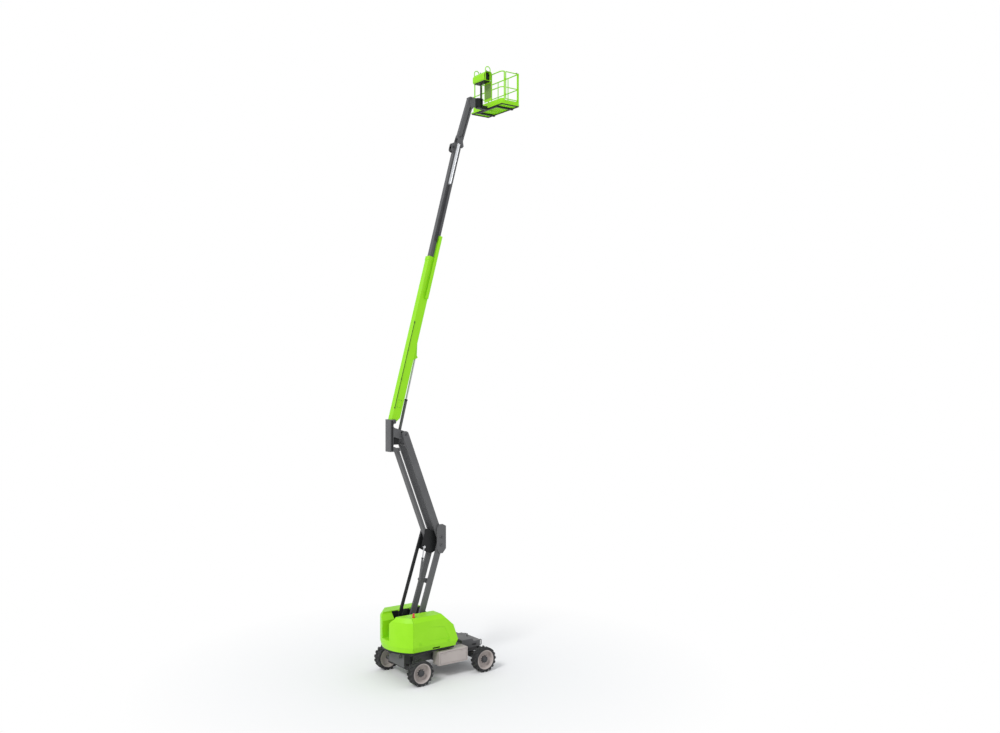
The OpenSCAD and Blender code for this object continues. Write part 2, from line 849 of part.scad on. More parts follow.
module hood() {
    recess = [for (i = [0:len(recess_x) - 1]) [recess_x[i], recess_z[i]]];
    difference() {
        hood_body(0);
        hood_body(hood_t);
        // Panel that sinks in towards the nose
        intersection() {
            plate_y(recess, turret_half_w - recess_depth, turret_half_w + over);
            bar_wedge(recess_x[0], max(recess_x), recess_depth);
        }
        // Hand hold at the lower edge
        box([hand_x[0], turret_half_w - skirt_bevel - hood_t - over, floor_z + hand_low],
            [hand_x[1], turret_half_w + over, floor_z + hand_low + hand_h]);
        // Room round the hinge
        bar_x(slot_half_w, hood_z - hinge_drop, tail_split_x, nose_x[3], hinge_r + slide_gap);
    }
    hood_hinge(1);
    hinge_leaves(1, hinge_r / 2, hood_t, hinge_drop + hinge_r / 2, hood_t / 2);
}

module hood_right() { color(lime) on_side(-1) hood(); }
module hood_left() { color(lime) hood(); }

module beacon() {
    color(red) translate([beacon_x, beacon_y, hood_z]) {
        cylinder(h = beacon_base_h, r = beacon_r);
        translate([0, 0, beacon_base_h])
            cylinder(h = beacon_h, r1 = beacon_r - hinge_r / 2, r2 = beacon_r - hinge_r);
    }
}

// Engine on the right and fluid tanks on the left, as plain blocks
module power_pack() {
    color(black) {
        box([pack_x[0], -pack_y[1], floor_z], [pack_x[1], -pack_y[0], pack_z]);
        box([tank_x[0], pack_y[0], floor_z], [tank_x[1], pack_y[1], tank_z]);
    }
}

// Lower pair of riser arms; the right one carries the cylinder's bracket on a stub tube
module lower_arms() {
    foot_s = lower_len - ram_back;
    color(grey) {
        along(lower_foot, lower_angle) {
            both_sides() strut(lower_len, lower_d, lower_lane[0], lower_lane[1], riser_pin_r);
            bar_y([foot_s, 0], -lower_lane[0] - over, ram_bracket_y1, cross_tube_r);
            plate_y([[foot_s - ram_bracket_hw, 0], [foot_s + ram_bracket_hw, 0],
                     [foot_s + ram_eye_r, ram_side], [foot_s - ram_eye_r, ram_side]],
                    ram_bracket_y0, ram_bracket_y1);
            bar_y([foot_s, ram_side], ram_bracket_y0, ram_bracket_y1, ram_eye_r);
            bar_y([foot_s, ram_side], ram_y0, ram_bracket_y1, ram_pin_r);
        }
    }
}

module lower_link() {
    color(black) along(link_foot, lower_angle)
        strut(lower_len, link_d, link_lane[0], link_lane[1], link_pin_r);
}

module riser_barrel() {
    end = ram_len * ram_barrel_share;
    color(black) along(ram_foot, ram_angle) difference() {
        union() {
            bar_y([0, 0], ram_y0, ram_y1 + lane_gap / 2, ram_eye_r);
            bar_x(ram_y, 0, 0, end, ram_r - slide_gap);
        }
        bar_y([0, 0], ram_y0 - over, ram_y1 + over, ram_pin_r + run_gap);
        bar_x(ram_y, 0, ram_eye_r + plate_t, ram_eye_r + plate_t + ram_len, ram_rod_r + run_gap);
    }
}

module riser_rod() {
    inside = ram_len * ram_barrel_share / 2;
    color(silver) along(ram_foot, ram_angle) {
        bar_x(ram_y, 0, inside, ram_len, ram_rod_r);
        bar_y([ram_len, 0], ram_y0, ram_y1, ram_eye_r);
        bar_y([ram_len, 0], ram_y0, -mid_in_y1 - lane_gap / 2, ram_pin_r);
    }
}

// Mid link: outer plates, front plate and inner cheeks, all on two long pins
module mid_link() {
    a = lower_head;
    front = a[0] + mid_front;
    outer = [[a[0] - mid_back, a[1] - mid_low / 2], [a[0] - mid_nose, a[1] - mid_low],
             [front - mid_nose, a[1] - mid_low], [front + mid_front_t, a[1] - mid_low / 2],
             [front + mid_front_t, a[1] + mid_high - mid_nose], [front - mid_nose, a[1] + mid_high],
             [a[0] - mid_nose, a[1] + mid_high], [a[0] - mid_back, a[1] + mid_high - mid_back]];
    inner = [[upper_link_foot[0] - mid_boss_r, upper_link_foot[1] - mid_boss_r], [front, a[1] - mid_low / 2],
             [front, upper_foot[1] + mid_boss_r], [link_head[0] + link_d / 2, link_head[1] + link_d / 2],
             [link_head[0] - link_d / 2, link_head[1] + link_d / 2],
             [ram_head[0] - mid_boss_r, ram_head[1] + mid_boss_r],
             [ram_head[0] - mid_boss_r, ram_head[1] - mid_boss_r]];
    color(grey) {
        both_sides() {
            plate_y(outer, mid_out_y0, mid_out_y1);
            plate_y(inner, mid_in_y0, mid_in_y1);
        }
        // Front plate, cut down in the middle for the lowered main boom
        difference() {
            box([front, -mid_out_y1, a[1] - mid_low / 2],
                [front + mid_front_t, mid_out_y1, a[1] + mid_high - mid_nose]);
            box([front - over, -mid_notch_hw, a[1] + mid_notch_low],
                [front + mid_front_t + over, mid_notch_hw, a[1] + mid_high]);
        }
        for (p = [lower_head, upper_foot]) {
            bar_y(p, -mid_out_y1 - pin_head_t, mid_out_y1 + pin_head_t, riser_pin_r);
            both_sides() {
                bar_y(p, mid_out_y1, mid_out_y1 + pin_head_t, pin_head_r);
                bar_y(p, mid_in_y0, pin_boss_y1, pin_boss_r);
            }
        }
        bar_y(upper_link_foot, -mid_in_y1, mid_in_y1, link_pin_r);
        bar_y(link_head, mid_in_y0, link_lane[1] + lane_gap, link_pin_r);
    }
}

module upper_arms() {
    color(grey) along(upper_foot, upper_angle) {
        both_sides() strut(upper_len, upper_d, upper_lane[0], upper_lane[1], riser_pin_r);
        bar_y([upper_len - cross_tube_top, upper_d / 4], -upper_lane[0], upper_lane[0], cross_tube_r);
    }
}

module upper_link() {
    color(grey) along(upper_link_foot, upper_angle)
        strut(upper_len, link_d, -upper_link_hw, upper_link_hw, link_pin_r);
}

// Upright that the riser keeps level
module upright() {
    c = upper_head;
    cheek = [[c[0] - upright_back, c[1] - upright_low],
             [upper_link_head[0] + link_d * cheek_half_share, c[1] - upright_low],
             [c[0] + upright_front, c[1] - upright_front], [c[0] + upright_front, c[1] + upright_front],
             [lift_foot[0] + upright_front, lift_foot[1] + upright_front],
             [boom_foot[0] + boom_foot_r, c[1] + upright_high], [c[0] - upright_back, c[1] + upright_high]];
    color(grey) {
        both_sides() {
            plate_y(cheek, upright_y0, upright_y1);
            bar_y(upper_head, upright_y0, upper_lane[1] + lane_gap, riser_pin_r);
        }
        box([c[0] - upright_back, -upright_y0, c[1] - upright_low],
            [c[0] - upright_back + upright_t, upright_y0, c[1] + upright_high]);
        bar_y(boom_foot, -upright_y1 - pin_head_t, upright_y1 + pin_head_t, boom_pin_r);
        bar_y(upper_link_head, -upright_y1, upright_y1, link_pin_r);
        bar_y(lift_foot, -upright_y1, upright_y1, lift_pin_r);
    }
}

// Main boom: a box with a foot lug, a mouth collar and the lift cylinder's bracket
module main_boom() {
    hw = boom_w / 2;
    mouth = slide_gap + tele_w / 2;
    bracket = [[lift_head_s - lift_bracket_s0, -boom_front], [lift_head_s - lift_bracket_r, -lift_head_q],
               [lift_head_s, -lift_head_q - lift_bracket_r], [lift_head_s + lift_bracket_r, -lift_head_q],
               [lift_head_s + lift_bracket_s1, -boom_front]];
    color(lime) along(boom_foot, boom_angle) {
        difference() {
            union() {
                box([boom_start, -hw, -boom_front], [boom_len, hw, boom_back]);
                box([boom_len - collar_l, -hw - collar_out, -boom_front - collar_lip],
                    [boom_len, hw + collar_out, boom_back + collar_lip]);
            }
            // Inside of the box
            box([boom_start + boom_foot_t, -hw + boom_t, -boom_front + boom_t],
                [boom_len - collar_l, hw - boom_t, boom_back - boom_t]);
            // Mouth with its wear pads close to the telescoping boom
            box([boom_len - collar_l - over, -mouth, -tele_mid - tele_d / 2 - slide_gap],
                [boom_len + over, mouth, -tele_mid + tele_d / 2 + slide_gap]);
        }
        // Foot lug
        difference() {
            union() {
                plate_y([[0, -boom_foot_r], [boom_start, -boom_front], [boom_start, boom_back],
                         [0, boom_foot_r]], -hw, hw);
                bar_y([0, 0], -hw, hw, boom_foot_r);
            }
            bar_y([0, 0], -hw - over, hw + over, boom_pin_r + run_gap);
        }
        both_sides() plate_y(bracket, lift_bracket_y0, lift_bracket_y1);
    }
}

// Open tray on the right of the main boom that the cable track lies in
module cable_tray() {
    y1 = -boom_w / 2 - collar_out;
    y0 = y1 - tray_w;
    color(lime) along(boom_foot, boom_angle) difference() {
        box([tray_s0, y0, -tray_q1], [tray_s1, y1, -tray_q0]);
        box([tray_s0 - over, y0 + tray_t, -tray_q1 + tray_t],
            [tray_s1 + over, y1 - tray_t, -tray_q0 + over]);
    }
}

module lift_barrel() {
    end = lift_len * lift_barrel_share;
    color(black) along(lift_foot, lift_angle) difference() {
        union() {
            bar_y([0, 0], -lift_r, lift_r, lift_r + lane_gap);
            bar_x(0, 0, 0, end, lift_r);
        }
        bar_y([0, 0], -lift_r - over, lift_r + over, lift_pin_r + run_gap);
        bar_x(0, 0, lift_r + plate_t, lift_r + plate_t + lift_len, lift_rod_r + run_gap);
    }
}

module lift_rod() {
    inside = lift_len * lift_barrel_share * 2 / 3;
    color(silver) along(lift_foot, lift_angle) {
        bar_x(0, 0, inside, lift_len, lift_rod_r);
        bar_y([lift_len, 0], -lift_eye_hw, lift_eye_hw, lift_eye_r);
        bar_y([lift_len, 0], -lift_bracket_y0 + lane_gap, lift_bracket_y0 - lane_gap, lift_pin_r);
    }
}

module tele_boom() {
    hw = tele_w / 2;
    end = tele_reach - tele_end_gap;
    hd = tele_d / 2;
    slot = jib_link_hw + tip_slot_gap;
    color(grey) along(boom_foot, boom_angle) translate([0, 0, -tele_mid]) {
        difference() {
            box([tele_tail_s, -hw, -hd], [end, hw, hd]);
            box([tele_tail_s - over, -hw + tele_t, -hd + tele_t], [end - tip_t, hw - tele_t, hd - tele_t]);
        }
        difference() {
            union() {
                plate_y([[end, -hd], [tele_reach, -tip_r], [tele_reach, tip_r], [end, hd]], -hw, hw);
                bar_y([tele_reach, 0], -hw, hw, tip_r);
            }
            bar_y([tele_reach, 0], -hw - over, hw + over, jib_pin_r + run_gap);
            // Room for the jib link's foot between the two ears
            box([end, -slot, -hd - over], [tele_reach + tip_r + over, slot, hd + over]);
        }
    }
}

// Links of the cable track, the push tube that carries them and its arm on the telescoping boom
module cable_track() {
    mid_y = (track_y0 + track_y1) / 2;
    count = floor((track_s1 - track_s0) / track_pitch);
    color(black) along(boom_foot, boom_angle) {
        box([track_s0, mid_y - track_core_h / 2, -track_q - track_core_h / 2],
            [track_s1, mid_y + track_core_h / 2, -track_q + track_core_h / 2]);
        for (i = [0:count - 1])
            box([track_s0 + i * track_pitch, track_y0, -track_q - track_h / 2],
                [track_s0 + (i + 1) * track_pitch - track_gap, track_y1, -track_q + track_h / 2]);
        bar_x(mid_y, -push_q, track_s1, push_s1, push_r);
        box([track_arm_s0, mid_y - push_r, -push_q - track_arm_h / 2],
            [track_arm_s1, -tele_w / 2, -push_q + track_arm_h / 2]);
    }
}

// Jib base: two cheeks on the knee pin that keep the jib's foot level
module jib_base() {
    k = jib_knee;
    r = jib_cheek_r;
    cheek = [[k[0] - r, k[1] - r / 2], [k[0], k[1] - r], [jib_link_foot[0], jib_link_foot[1] - r],
             [jib_link_foot[0] + r, jib_link_foot[1]], [jib_foot[0] + r, jib_foot[1]],
             [jib_foot[0] + r / 2, jib_foot[1] + r], [jib_foot[0] - r / 2, jib_foot[1] + r],
             [k[0] - r, k[1] + r]];
    color(grey) {
        both_sides() plate_y(cheek, jib_cheek_y0, jib_cheek_y1);
        for (p = [jib_knee, jib_foot, jib_link_foot])
            bar_y(p, -jib_cheek_y1 - pin_head_t, jib_cheek_y1 + pin_head_t, jib_pin_r);
    }
}

module jib_arm() {
    color(grey) along(jib_foot, jib_angle) strut(jib_len, jib_d, -jib_w / 2, jib_w / 2, jib_pin_r);
}

module jib_link() {
    color(grey) along(jib_link_foot, jib_angle) difference() {
        union() {
            box([0, -jib_link_hw, -jib_link_d / 2], [jib_len, jib_link_hw, jib_link_d / 2]);
            for (x = [0, jib_len]) bar_y([x, 0], -jib_link_hw, jib_link_hw, jib_link_eye_r);
        }
        for (x = [0, jib_len]) bar_y([x, 0], -jib_link_hw - over, jib_link_hw + over, jib_pin_r + run_gap);
    }
}

// Jib head: cheeks on the jib's end and the drum that turns the platform
module jib_head() {
    h = jib_head_pin;
    k = jib_link_head;
    r = head_cheek_r;
    cheek = [[k[0] - r / 2, k[1] - r], [head_block_x0 + r, rotator_z0 + rotator_cap],
             [head_block_x0 + r, rotator_z1], [h[0], h[1] + r], [h[0] - r, h[1] + r / 2],
             [h[0] - r, h[1] - r / 2], [k[0] - r, k[1]]];
    color(grey) difference() {
        union() {
            both_sides() plate_y(cheek, head_cheek_y0, head_cheek_y1);
            box([head_block_x0, -head_cheek_y1, rotator_z0 + rotator_cap],
                [rotator_x, head_cheek_y1, rotator_z1]);
            bar_z(rotator_x, 0, rotator_z0 + rotator_cap, rotator_z1, rotator_r);
            for (p = [h, k]) bar_y(p, -head_cheek_y1 - pin_head_t, head_cheek_y1 + pin_head_t, jib_pin_r);
        }
        bar_z(rotator_x, 0, rotator_z0 - over, rotator_z1 + rotator_cap, rotator_pin_r + run_gap);
    }
}

// Platform support: a bracket round the drum and the bearers under the floor
module platform_support() {
    face_x = rotator_x + rotator_r + support_gap;
    color(black) {
        for (z = [rotator_z0, rotator_z1]) {
            bar_z(rotator_x, 0, z, z + rotator_cap, rotator_r);
            box([rotator_x, -rotator_r, z], [face_x + support_t, rotator_r, z + rotator_cap]);
        }
        bar_z(rotator_x, 0, rotator_z0, rotator_z1 + rotator_cap, rotator_pin_r);
        box([face_x, -rotator_r, rotator_z0], [face_x + support_t, rotator_r, rotator_z1 + rotator_cap]);
        box([face_x + support_t, -support_hw, platform_z - bearer_h],
            [platform_back, support_hw, platform_z + bearer_h]);
        box([platform_back, -bearer_y - bearer_w, platform_z - bearer_h],
            [platform_back + bearer_w, bearer_y + bearer_w, platform_z]);
        both_sides()
            box([platform_back + bearer_w, bearer_y, platform_z - bearer_h],
                [platform_front, bearer_y + bearer_w, platform_z]);
    }
}

// Floor: an edge frame filled with bars
module platform_floor() {
    pitch = (platform_w - 2 * floor_edge) / floor_bars;
    color(lime) {
        difference() {
            box([platform_back, -platform_hw, platform_z], [platform_front, platform_hw, floor_top]);
            box([platform_back + floor_edge, -platform_hw + floor_edge, platform_z - over],
                [platform_front - floor_edge, platform_hw - floor_edge, floor_top + over]);
        }
        for (i = [1:floor_bars - 1])
            translate([0, -platform_hw + floor_edge + i * pitch, 0])
                box([platform_back + floor_edge - over, -floor_bar_w / 2, platform_z],
                    [platform_front - floor_edge + over, floor_bar_w / 2, floor_top]);
    }
}

// A quarter bend in the plan, from the rear rail to a side rail
module rail_corner(side, z) {
    translate([platform_back + rail_in + rail_bend, 0, z]) on_side(side)
        translate([0, platform_hw - rail_in - rail_bend, 0])
            rotate([0, 0, 90]) rotate_extrude(angle = 90) translate([rail_bend, 0]) children();
}

// Guard rails, posts and toe boards, open at the right end for the gate
module platform_rails() {
    x0 = platform_back + rail_in;
    x1 = platform_front - rail_in;
    y1 = platform_hw - rail_in;
    side_x0 = x0 + rail_bend;
    rear_y1 = y1 - rail_bend;
    color(lime) {
        // Rear rails, bent round both corners
        bar_y([x0, rail_top], -rear_y1, rear_y1, rail_r);
        bar_y([x0, rail_mid], -rear_y1, rear_y1, rail_r - rail_step);
        box([x0 - toe_t / 2, -rear_y1, floor_top], [x0 + toe_t / 2, rear_y1, floor_top + toe_h]);
        for (side = [-1, 1]) {
            rail_corner(side, rail_top) circle(rail_r);
            rail_corner(side, rail_mid) circle(rail_r - rail_step);
            rail_corner(side, floor_top) translate([-toe_t / 2, 0]) square([toe_t, toe_h]);
            bar_z(side_x0, side * y1, floor_top, rail_top, rail_r + rail_step);
            bar_z(x1, side * y1, floor_top, rail_top + rail_r, rail_r + rail_step);
        }
        // Front and left rails
        bar_y([x1, rail_top], -y1, y1, rail_r);
        bar_y([x1, rail_mid], -y1, y1, rail_r - rail_step);
        box([x1 - toe_t / 2, -y1, floor_top], [x1 + toe_t / 2, y1, floor_top + toe_h]);
        bar_x(y1, rail_top, side_x0, x1, rail_r);
        bar_x(y1, rail_mid, side_x0, x1, rail_r - rail_step);
        box([side_x0, y1 - toe_t / 2, floor_top], [x1, y1 + toe_t / 2, floor_top + toe_h]);
        for (x = [x0, x1], y = [-y1 / 3, y1 / 3]) bar_z(x, y, floor_top, rail_top, rail_r - 2 * rail_step);
        // Sill below the gate
        box([side_x0, -y1 - toe_t / 2, floor_top], [x1, -y1 + toe_t / 2, floor_top + gate_low - rail_r]);
        // Eyes that the gate's post turns in
        for (z = [(floor_top + rail_mid) / 2, (rail_mid + rail_top) / 2]) difference() {
            union() {
                box([side_x0, -y1 - gate_eye_t, z],
                    [side_x0 + gate_post_in, -y1 + gate_eye_t, z + gate_eye_h]);
                bar_z(side_x0 + gate_post_in, -y1, z, z + gate_eye_h, gate_tube_r + gate_eye_t);
            }
            bar_z(side_x0 + gate_post_in, -y1, z - over, z + gate_eye_h + over, gate_tube_r + run_gap);
        }
    }
}

// Section of the console's cover across the platform, inset by its wall
module cover_section(inset) {
    r = console_round;
    low = console_z[0] + r;
    high = console_z[1] - r;
    rear = console_x[0] + r;
    front = platform_back + rail_in - rail_r - r;
    offset(r = r - inset, $fn = 32) polygon([
        [rear, low], [front, low], [front, high], [rear + console_slope / 2, high],
        [rear, high - console_slope / 2]]);
}

// Control console behind the platform: a cover open at the right, two arched hoops and a panel below
module control_console() {
    xa = console_x[0] + console_leg;
    back = platform_back + rail_in - rail_r;
    xb = back - console_leg;
    hoop_z = console_z[1] + hoop_rise;
    color(lime) {
        translate([0, console_y[1], 0]) rotate([90, 0, 0]) difference() {
            linear_extrude(console_y[1] - console_y[0]) cover_section(0);
            translate([0, 0, console_t]) linear_extrude(console_y[1] - console_y[0])
                cover_section(console_t);
        }
        for (y = [console_y[0] + hoop_r, console_y[1] - hoop_r]) {
            for (x = [xa, xb]) bar_z(x, y, console_z[0] + console_t / 2, hoop_z, hoop_r);
            translate([(xa + xb) / 2, y, hoop_z]) rotate([90, 0, 0])
                rotate_extrude(angle = 180) translate([(xb - xa) / 2, 0]) circle(hoop_r);
        }
        box([back - panel_t, panel_y[0], panel_z[0]], [back, panel_y[1], panel_z[1]]);
    }
}

// Gate at the right end, hinged at the rear and swinging inwards
module gate() {
    x0 = platform_back + rail_in + rail_bend + gate_post_in;
    x1 = platform_front - rail_in - rail_r - gate_clear;
    y = -platform_hw + rail_in;
    low = floor_top + gate_low + gate_tube_r;
    color(lime) {
        for (x = [x0, x1 - gate_tube_r]) bar_z(x, y, low, rail_top, gate_tube_r);
        for (z = [low, rail_mid, rail_top]) bar_x(y, z, x0, x1 - gate_tube_r, gate_tube_r);
    }
}

chassis_frame();
steer_axle();
drive_axle();
side_boxes();
slew_ring();
knuckle_right();
knuckle_left();
tie_rod();
tyre_rear_right();
rim_rear_right();
tyre_rear_left();
rim_rear_left();
tyre_front_right();
rim_front_right();
tyre_front_left();
rim_front_left();
turntable();
counterweight();
power_pack();
hood_right();
hood_left();
beacon();
lower_arms();
lower_link();
mid_link();
upper_arms();
upper_link();
riser_barrel();
riser_rod();
upright();
main_boom();
cable_tray();
lift_barrel();
lift_rod();
tele_boom();
cable_track();
jib_base();
jib_arm();
jib_link();
jib_head();
platform_support();
platform_floor();
platform_rails();
control_console();
gate();
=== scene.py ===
import json
import math
import bpy
from mathutils import Vector, Matrix


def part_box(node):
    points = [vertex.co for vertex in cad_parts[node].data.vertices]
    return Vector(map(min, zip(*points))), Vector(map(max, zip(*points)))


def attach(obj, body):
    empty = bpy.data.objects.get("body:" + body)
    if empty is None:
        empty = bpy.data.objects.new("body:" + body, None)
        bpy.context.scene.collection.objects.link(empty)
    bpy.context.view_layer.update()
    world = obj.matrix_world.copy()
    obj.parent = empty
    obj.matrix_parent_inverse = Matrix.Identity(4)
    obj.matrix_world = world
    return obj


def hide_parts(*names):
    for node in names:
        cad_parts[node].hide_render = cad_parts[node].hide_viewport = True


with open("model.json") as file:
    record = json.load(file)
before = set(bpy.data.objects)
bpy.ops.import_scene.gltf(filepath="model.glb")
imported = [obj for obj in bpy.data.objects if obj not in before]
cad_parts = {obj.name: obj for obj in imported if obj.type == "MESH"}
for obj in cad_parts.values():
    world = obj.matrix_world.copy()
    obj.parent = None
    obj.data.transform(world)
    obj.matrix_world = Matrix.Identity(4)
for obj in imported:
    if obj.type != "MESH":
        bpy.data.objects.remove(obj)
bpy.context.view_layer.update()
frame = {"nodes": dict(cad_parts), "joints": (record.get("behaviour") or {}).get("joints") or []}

nodes = frame["nodes"]
joints = {j["name"]: j for j in frame["joints"]}
boomFoot = Vector(joints["boom_luff"]["pos_m"])
boomDir = Vector(joints["boom_extend"]["axis"])
bothSides = (-1, 1)  # the machine's right and left
print("frame loaded:", len(nodes), "nodes")


def srgb(code):
    # sRGB hex to linear RGBA
    parts = [int(code[i:i + 2], 16) / 255 for i in (1, 3, 5)]
    return [c / 12.92 if c <= 0.04045 else ((c + 0.055) / 1.055) ** 2.4 for c in parts] + [1.0]


def addNode(tree, kind, inputs=None, **settings):
    # one node with its settings, its values and its links
    made = tree.nodes.new(kind)
    for key, value in settings.items():
        setattr(made, key, value)
    for key, value in (inputs or {}).items():
        if isinstance(value, bpy.types.NodeSocket):
            tree.links.new(value, made.inputs[key])
        else:
            made.inputs[key].default_value = value
    return made


def startMaterial(name):
    made = bpy.data.materials.new(name)
    made.use_nodes = True
    tree = made.node_tree
    tree.nodes.clear()
    shader = addNode(tree, "ShaderNodeBsdfPrincipled")
    addNode(tree, "ShaderNodeOutputMaterial", {0: shader.outputs[0]})
    coords = addNode(tree, "ShaderNodeTexCoord").outputs["Object"]
    return made, tree, shader, coords


def sprayedEnamel(name, paint, faded, primer, gloss, dust=0.25):
    # sprayed enamel on steel plate: an even coat with slight fading, orange peel,
    # bare patches along worn edges and pale dust on what faces up
    fadeMm, scuffMm, wearMm = 900, 35, 7
    peelMm = 6  # really 2 to 3 mm, drawn coarser so that it shows
    made, tree, shader, coords = startMaterial(name)
    cloud = addNode(tree, "ShaderNodeTexNoise", {
        "Vector": coords, "Scale": 1000 / fadeMm, "Detail": 5.0, "Roughness": 0.6}).outputs["Fac"]
    scuff = addNode(tree, "ShaderNodeTexNoise", {
        "Vector": coords, "Scale": 1000 / scuffMm, "Detail": 6.0, "Roughness": 0.7}).outputs["Fac"]
    fadeShare = addNode(tree, "ShaderNodeMapRange", {
        "Value": cloud, "From Min": 0.42, "From Max": 0.75})
    fade = addNode(tree, "ShaderNodeMix", {
        "Factor": fadeShare.outputs["Result"], "A": srgb(paint), "B": srgb(faded)}, data_type="RGBA")
    softNormal = addNode(tree, "ShaderNodeBevel", {"Radius": wearMm / 1000}, samples=4).outputs["Normal"]
    normal = addNode(tree, "ShaderNodeNewGeometry").outputs["Normal"]
    bend = addNode(tree, "ShaderNodeVectorMath", {0: softNormal, 1: normal}, operation="DOT_PRODUCT")
    edge = addNode(tree, "ShaderNodeMapRange", {
        "Value": bend.outputs["Value"], "From Min": 0.86, "From Max": 0.985, "To Min": 1.0, "To Max": 0.0})
    chips = addNode(tree, "ShaderNodeMapRange", {"Value": scuff, "From Min": 0.52, "From Max": 0.66})
    worn = addNode(tree, "ShaderNodeMath", {
        0: edge.outputs["Result"], 1: chips.outputs["Result"]}, operation="MULTIPLY")
    bare = addNode(tree, "ShaderNodeMix", {
        "Factor": worn.outputs[0], "A": fade.outputs["Result"], "B": srgb(primer)}, data_type="RGBA")
    up = addNode(tree, "ShaderNodeSeparateXYZ", {"Vector": normal})
    level = addNode(tree, "ShaderNodeMapRange", {
        "Value": up.outputs["Z"], "From Min": 0.55, "From Max": 0.95})
    drift = addNode(tree, "ShaderNodeMapRange", {"Value": cloud, "From Min": 0.3, "From Max": 0.8})
    lying = addNode(tree, "ShaderNodeMath", {
        0: level.outputs["Result"], 1: drift.outputs["Result"]}, operation="MULTIPLY")
    dustShare = addNode(tree, "ShaderNodeMath", {0: lying.outputs[0], 1: dust}, operation="MULTIPLY")
    coat = addNode(tree, "ShaderNodeMix", {
        "Factor": dustShare.outputs[0], "A": bare.outputs["Result"], "B": srgb("#B9B2A4")}, data_type="RGBA")
    tree.links.new(coat.outputs["Result"], shader.inputs["Base Color"])
    rough = addNode(tree, "ShaderNodeMapRange", {
        "Value": scuff, "To Min": gloss - 0.06, "To Max": gloss + 0.12})
    tree.links.new(rough.outputs["Result"], shader.inputs["Roughness"])
    peel = addNode(tree, "ShaderNodeTexNoise", {
        "Vector": coords, "Scale": 1000 / peelMm, "Detail": 1.0})
    bump = addNode(tree, "ShaderNodeBump", {
        "Height": peel.outputs["Fac"], "Strength": 0.05, "Distance": 0.001, "Normal": softNormal})
    tree.links.new(bump.outputs["Normal"], shader.inputs["Normal"])
    shader.inputs["IOR"].default_value = 1.5
    shader.inputs["Specular IOR Level"].default_value = 0.3
    return made


def mouldedRubber(name):
    # vulcanised tyre rubber: dull black with a bloom, and dry soil on it in patches
    bloomMm, soilMm = 120, 30
    made, tree, shader, coords = startMaterial(name)
    bloom = addNode(tree, "ShaderNodeTexNoise", {
        "Vector": coords, "Scale": 1000 / bloomMm, "Detail": 5.0})
    soil = addNode(tree, "ShaderNodeTexNoise", {
        "Vector": coords, "Scale": 1000 / soilMm, "Detail": 6.0, "Roughness": 0.7})
    bloomShare = addNode(tree, "ShaderNodeMapRange", {
        "Value": bloom.outputs["Fac"], "From Min": 0.4, "From Max": 0.75})
    soilShare = addNode(tree, "ShaderNodeMapRange", {
        "Value": soil.outputs["Fac"], "From Min": 0.6, "From Max": 0.85, "To Max": 0.35})
    body = addNode(tree, "ShaderNodeMix", {
        "Factor": bloomShare.outputs["Result"], "A": srgb("#262627"), "B": srgb("#3A3A3B")},
        data_type="RGBA")
    dusty = addNode(tree, "ShaderNodeMix", {
        "Factor": soilShare.outputs["Result"], "A": body.outputs["Result"], "B": srgb("#6E675C")},
        data_type="RGBA")
    tree.links.new(dusty.outputs["Result"], shader.inputs["Base Color"])
    shader.inputs["Roughness"].default_value = 0.82
    shader.inputs["IOR"].default_value = 1.52
    bump = addNode(tree, "ShaderNodeBump", {
        "Height": soil.outputs["Fac"], "Strength": 0.25, "Distance": 0.002})
    tree.links.new(bump.outputs["Normal"], shader.inputs["Normal"])
    return made


def metalSurface(name, bright, dull, patchMm, detail, metallic, roughFrom, roughTo):
    # bare or plated metal: two close tints in soft patches, smoother where it is bright
    made, tree, shader, coords = startMaterial(name)
    patch = addNode(tree, "ShaderNodeTexNoise", {
        "Vector": coords, "Scale": 1000 / patchMm, "Detail": detail}).outputs["Fac"]
    tint = addNode(tree, "ShaderNodeMix", {
        "Factor": patch, "A": srgb(bright), "B": srgb(dull)}, data_type="RGBA")
    tree.links.new(tint.outputs["Result"], shader.inputs["Base Color"])
    shader.inputs["Metallic"].default_value = metallic
    rough = addNode(tree, "ShaderNodeMapRange", {
        "Value": patch, "To Min": roughFrom, "To Max": roughTo})
    tree.links.new(rough.outputs["Result"], shader.inputs["Roughness"])
    return made


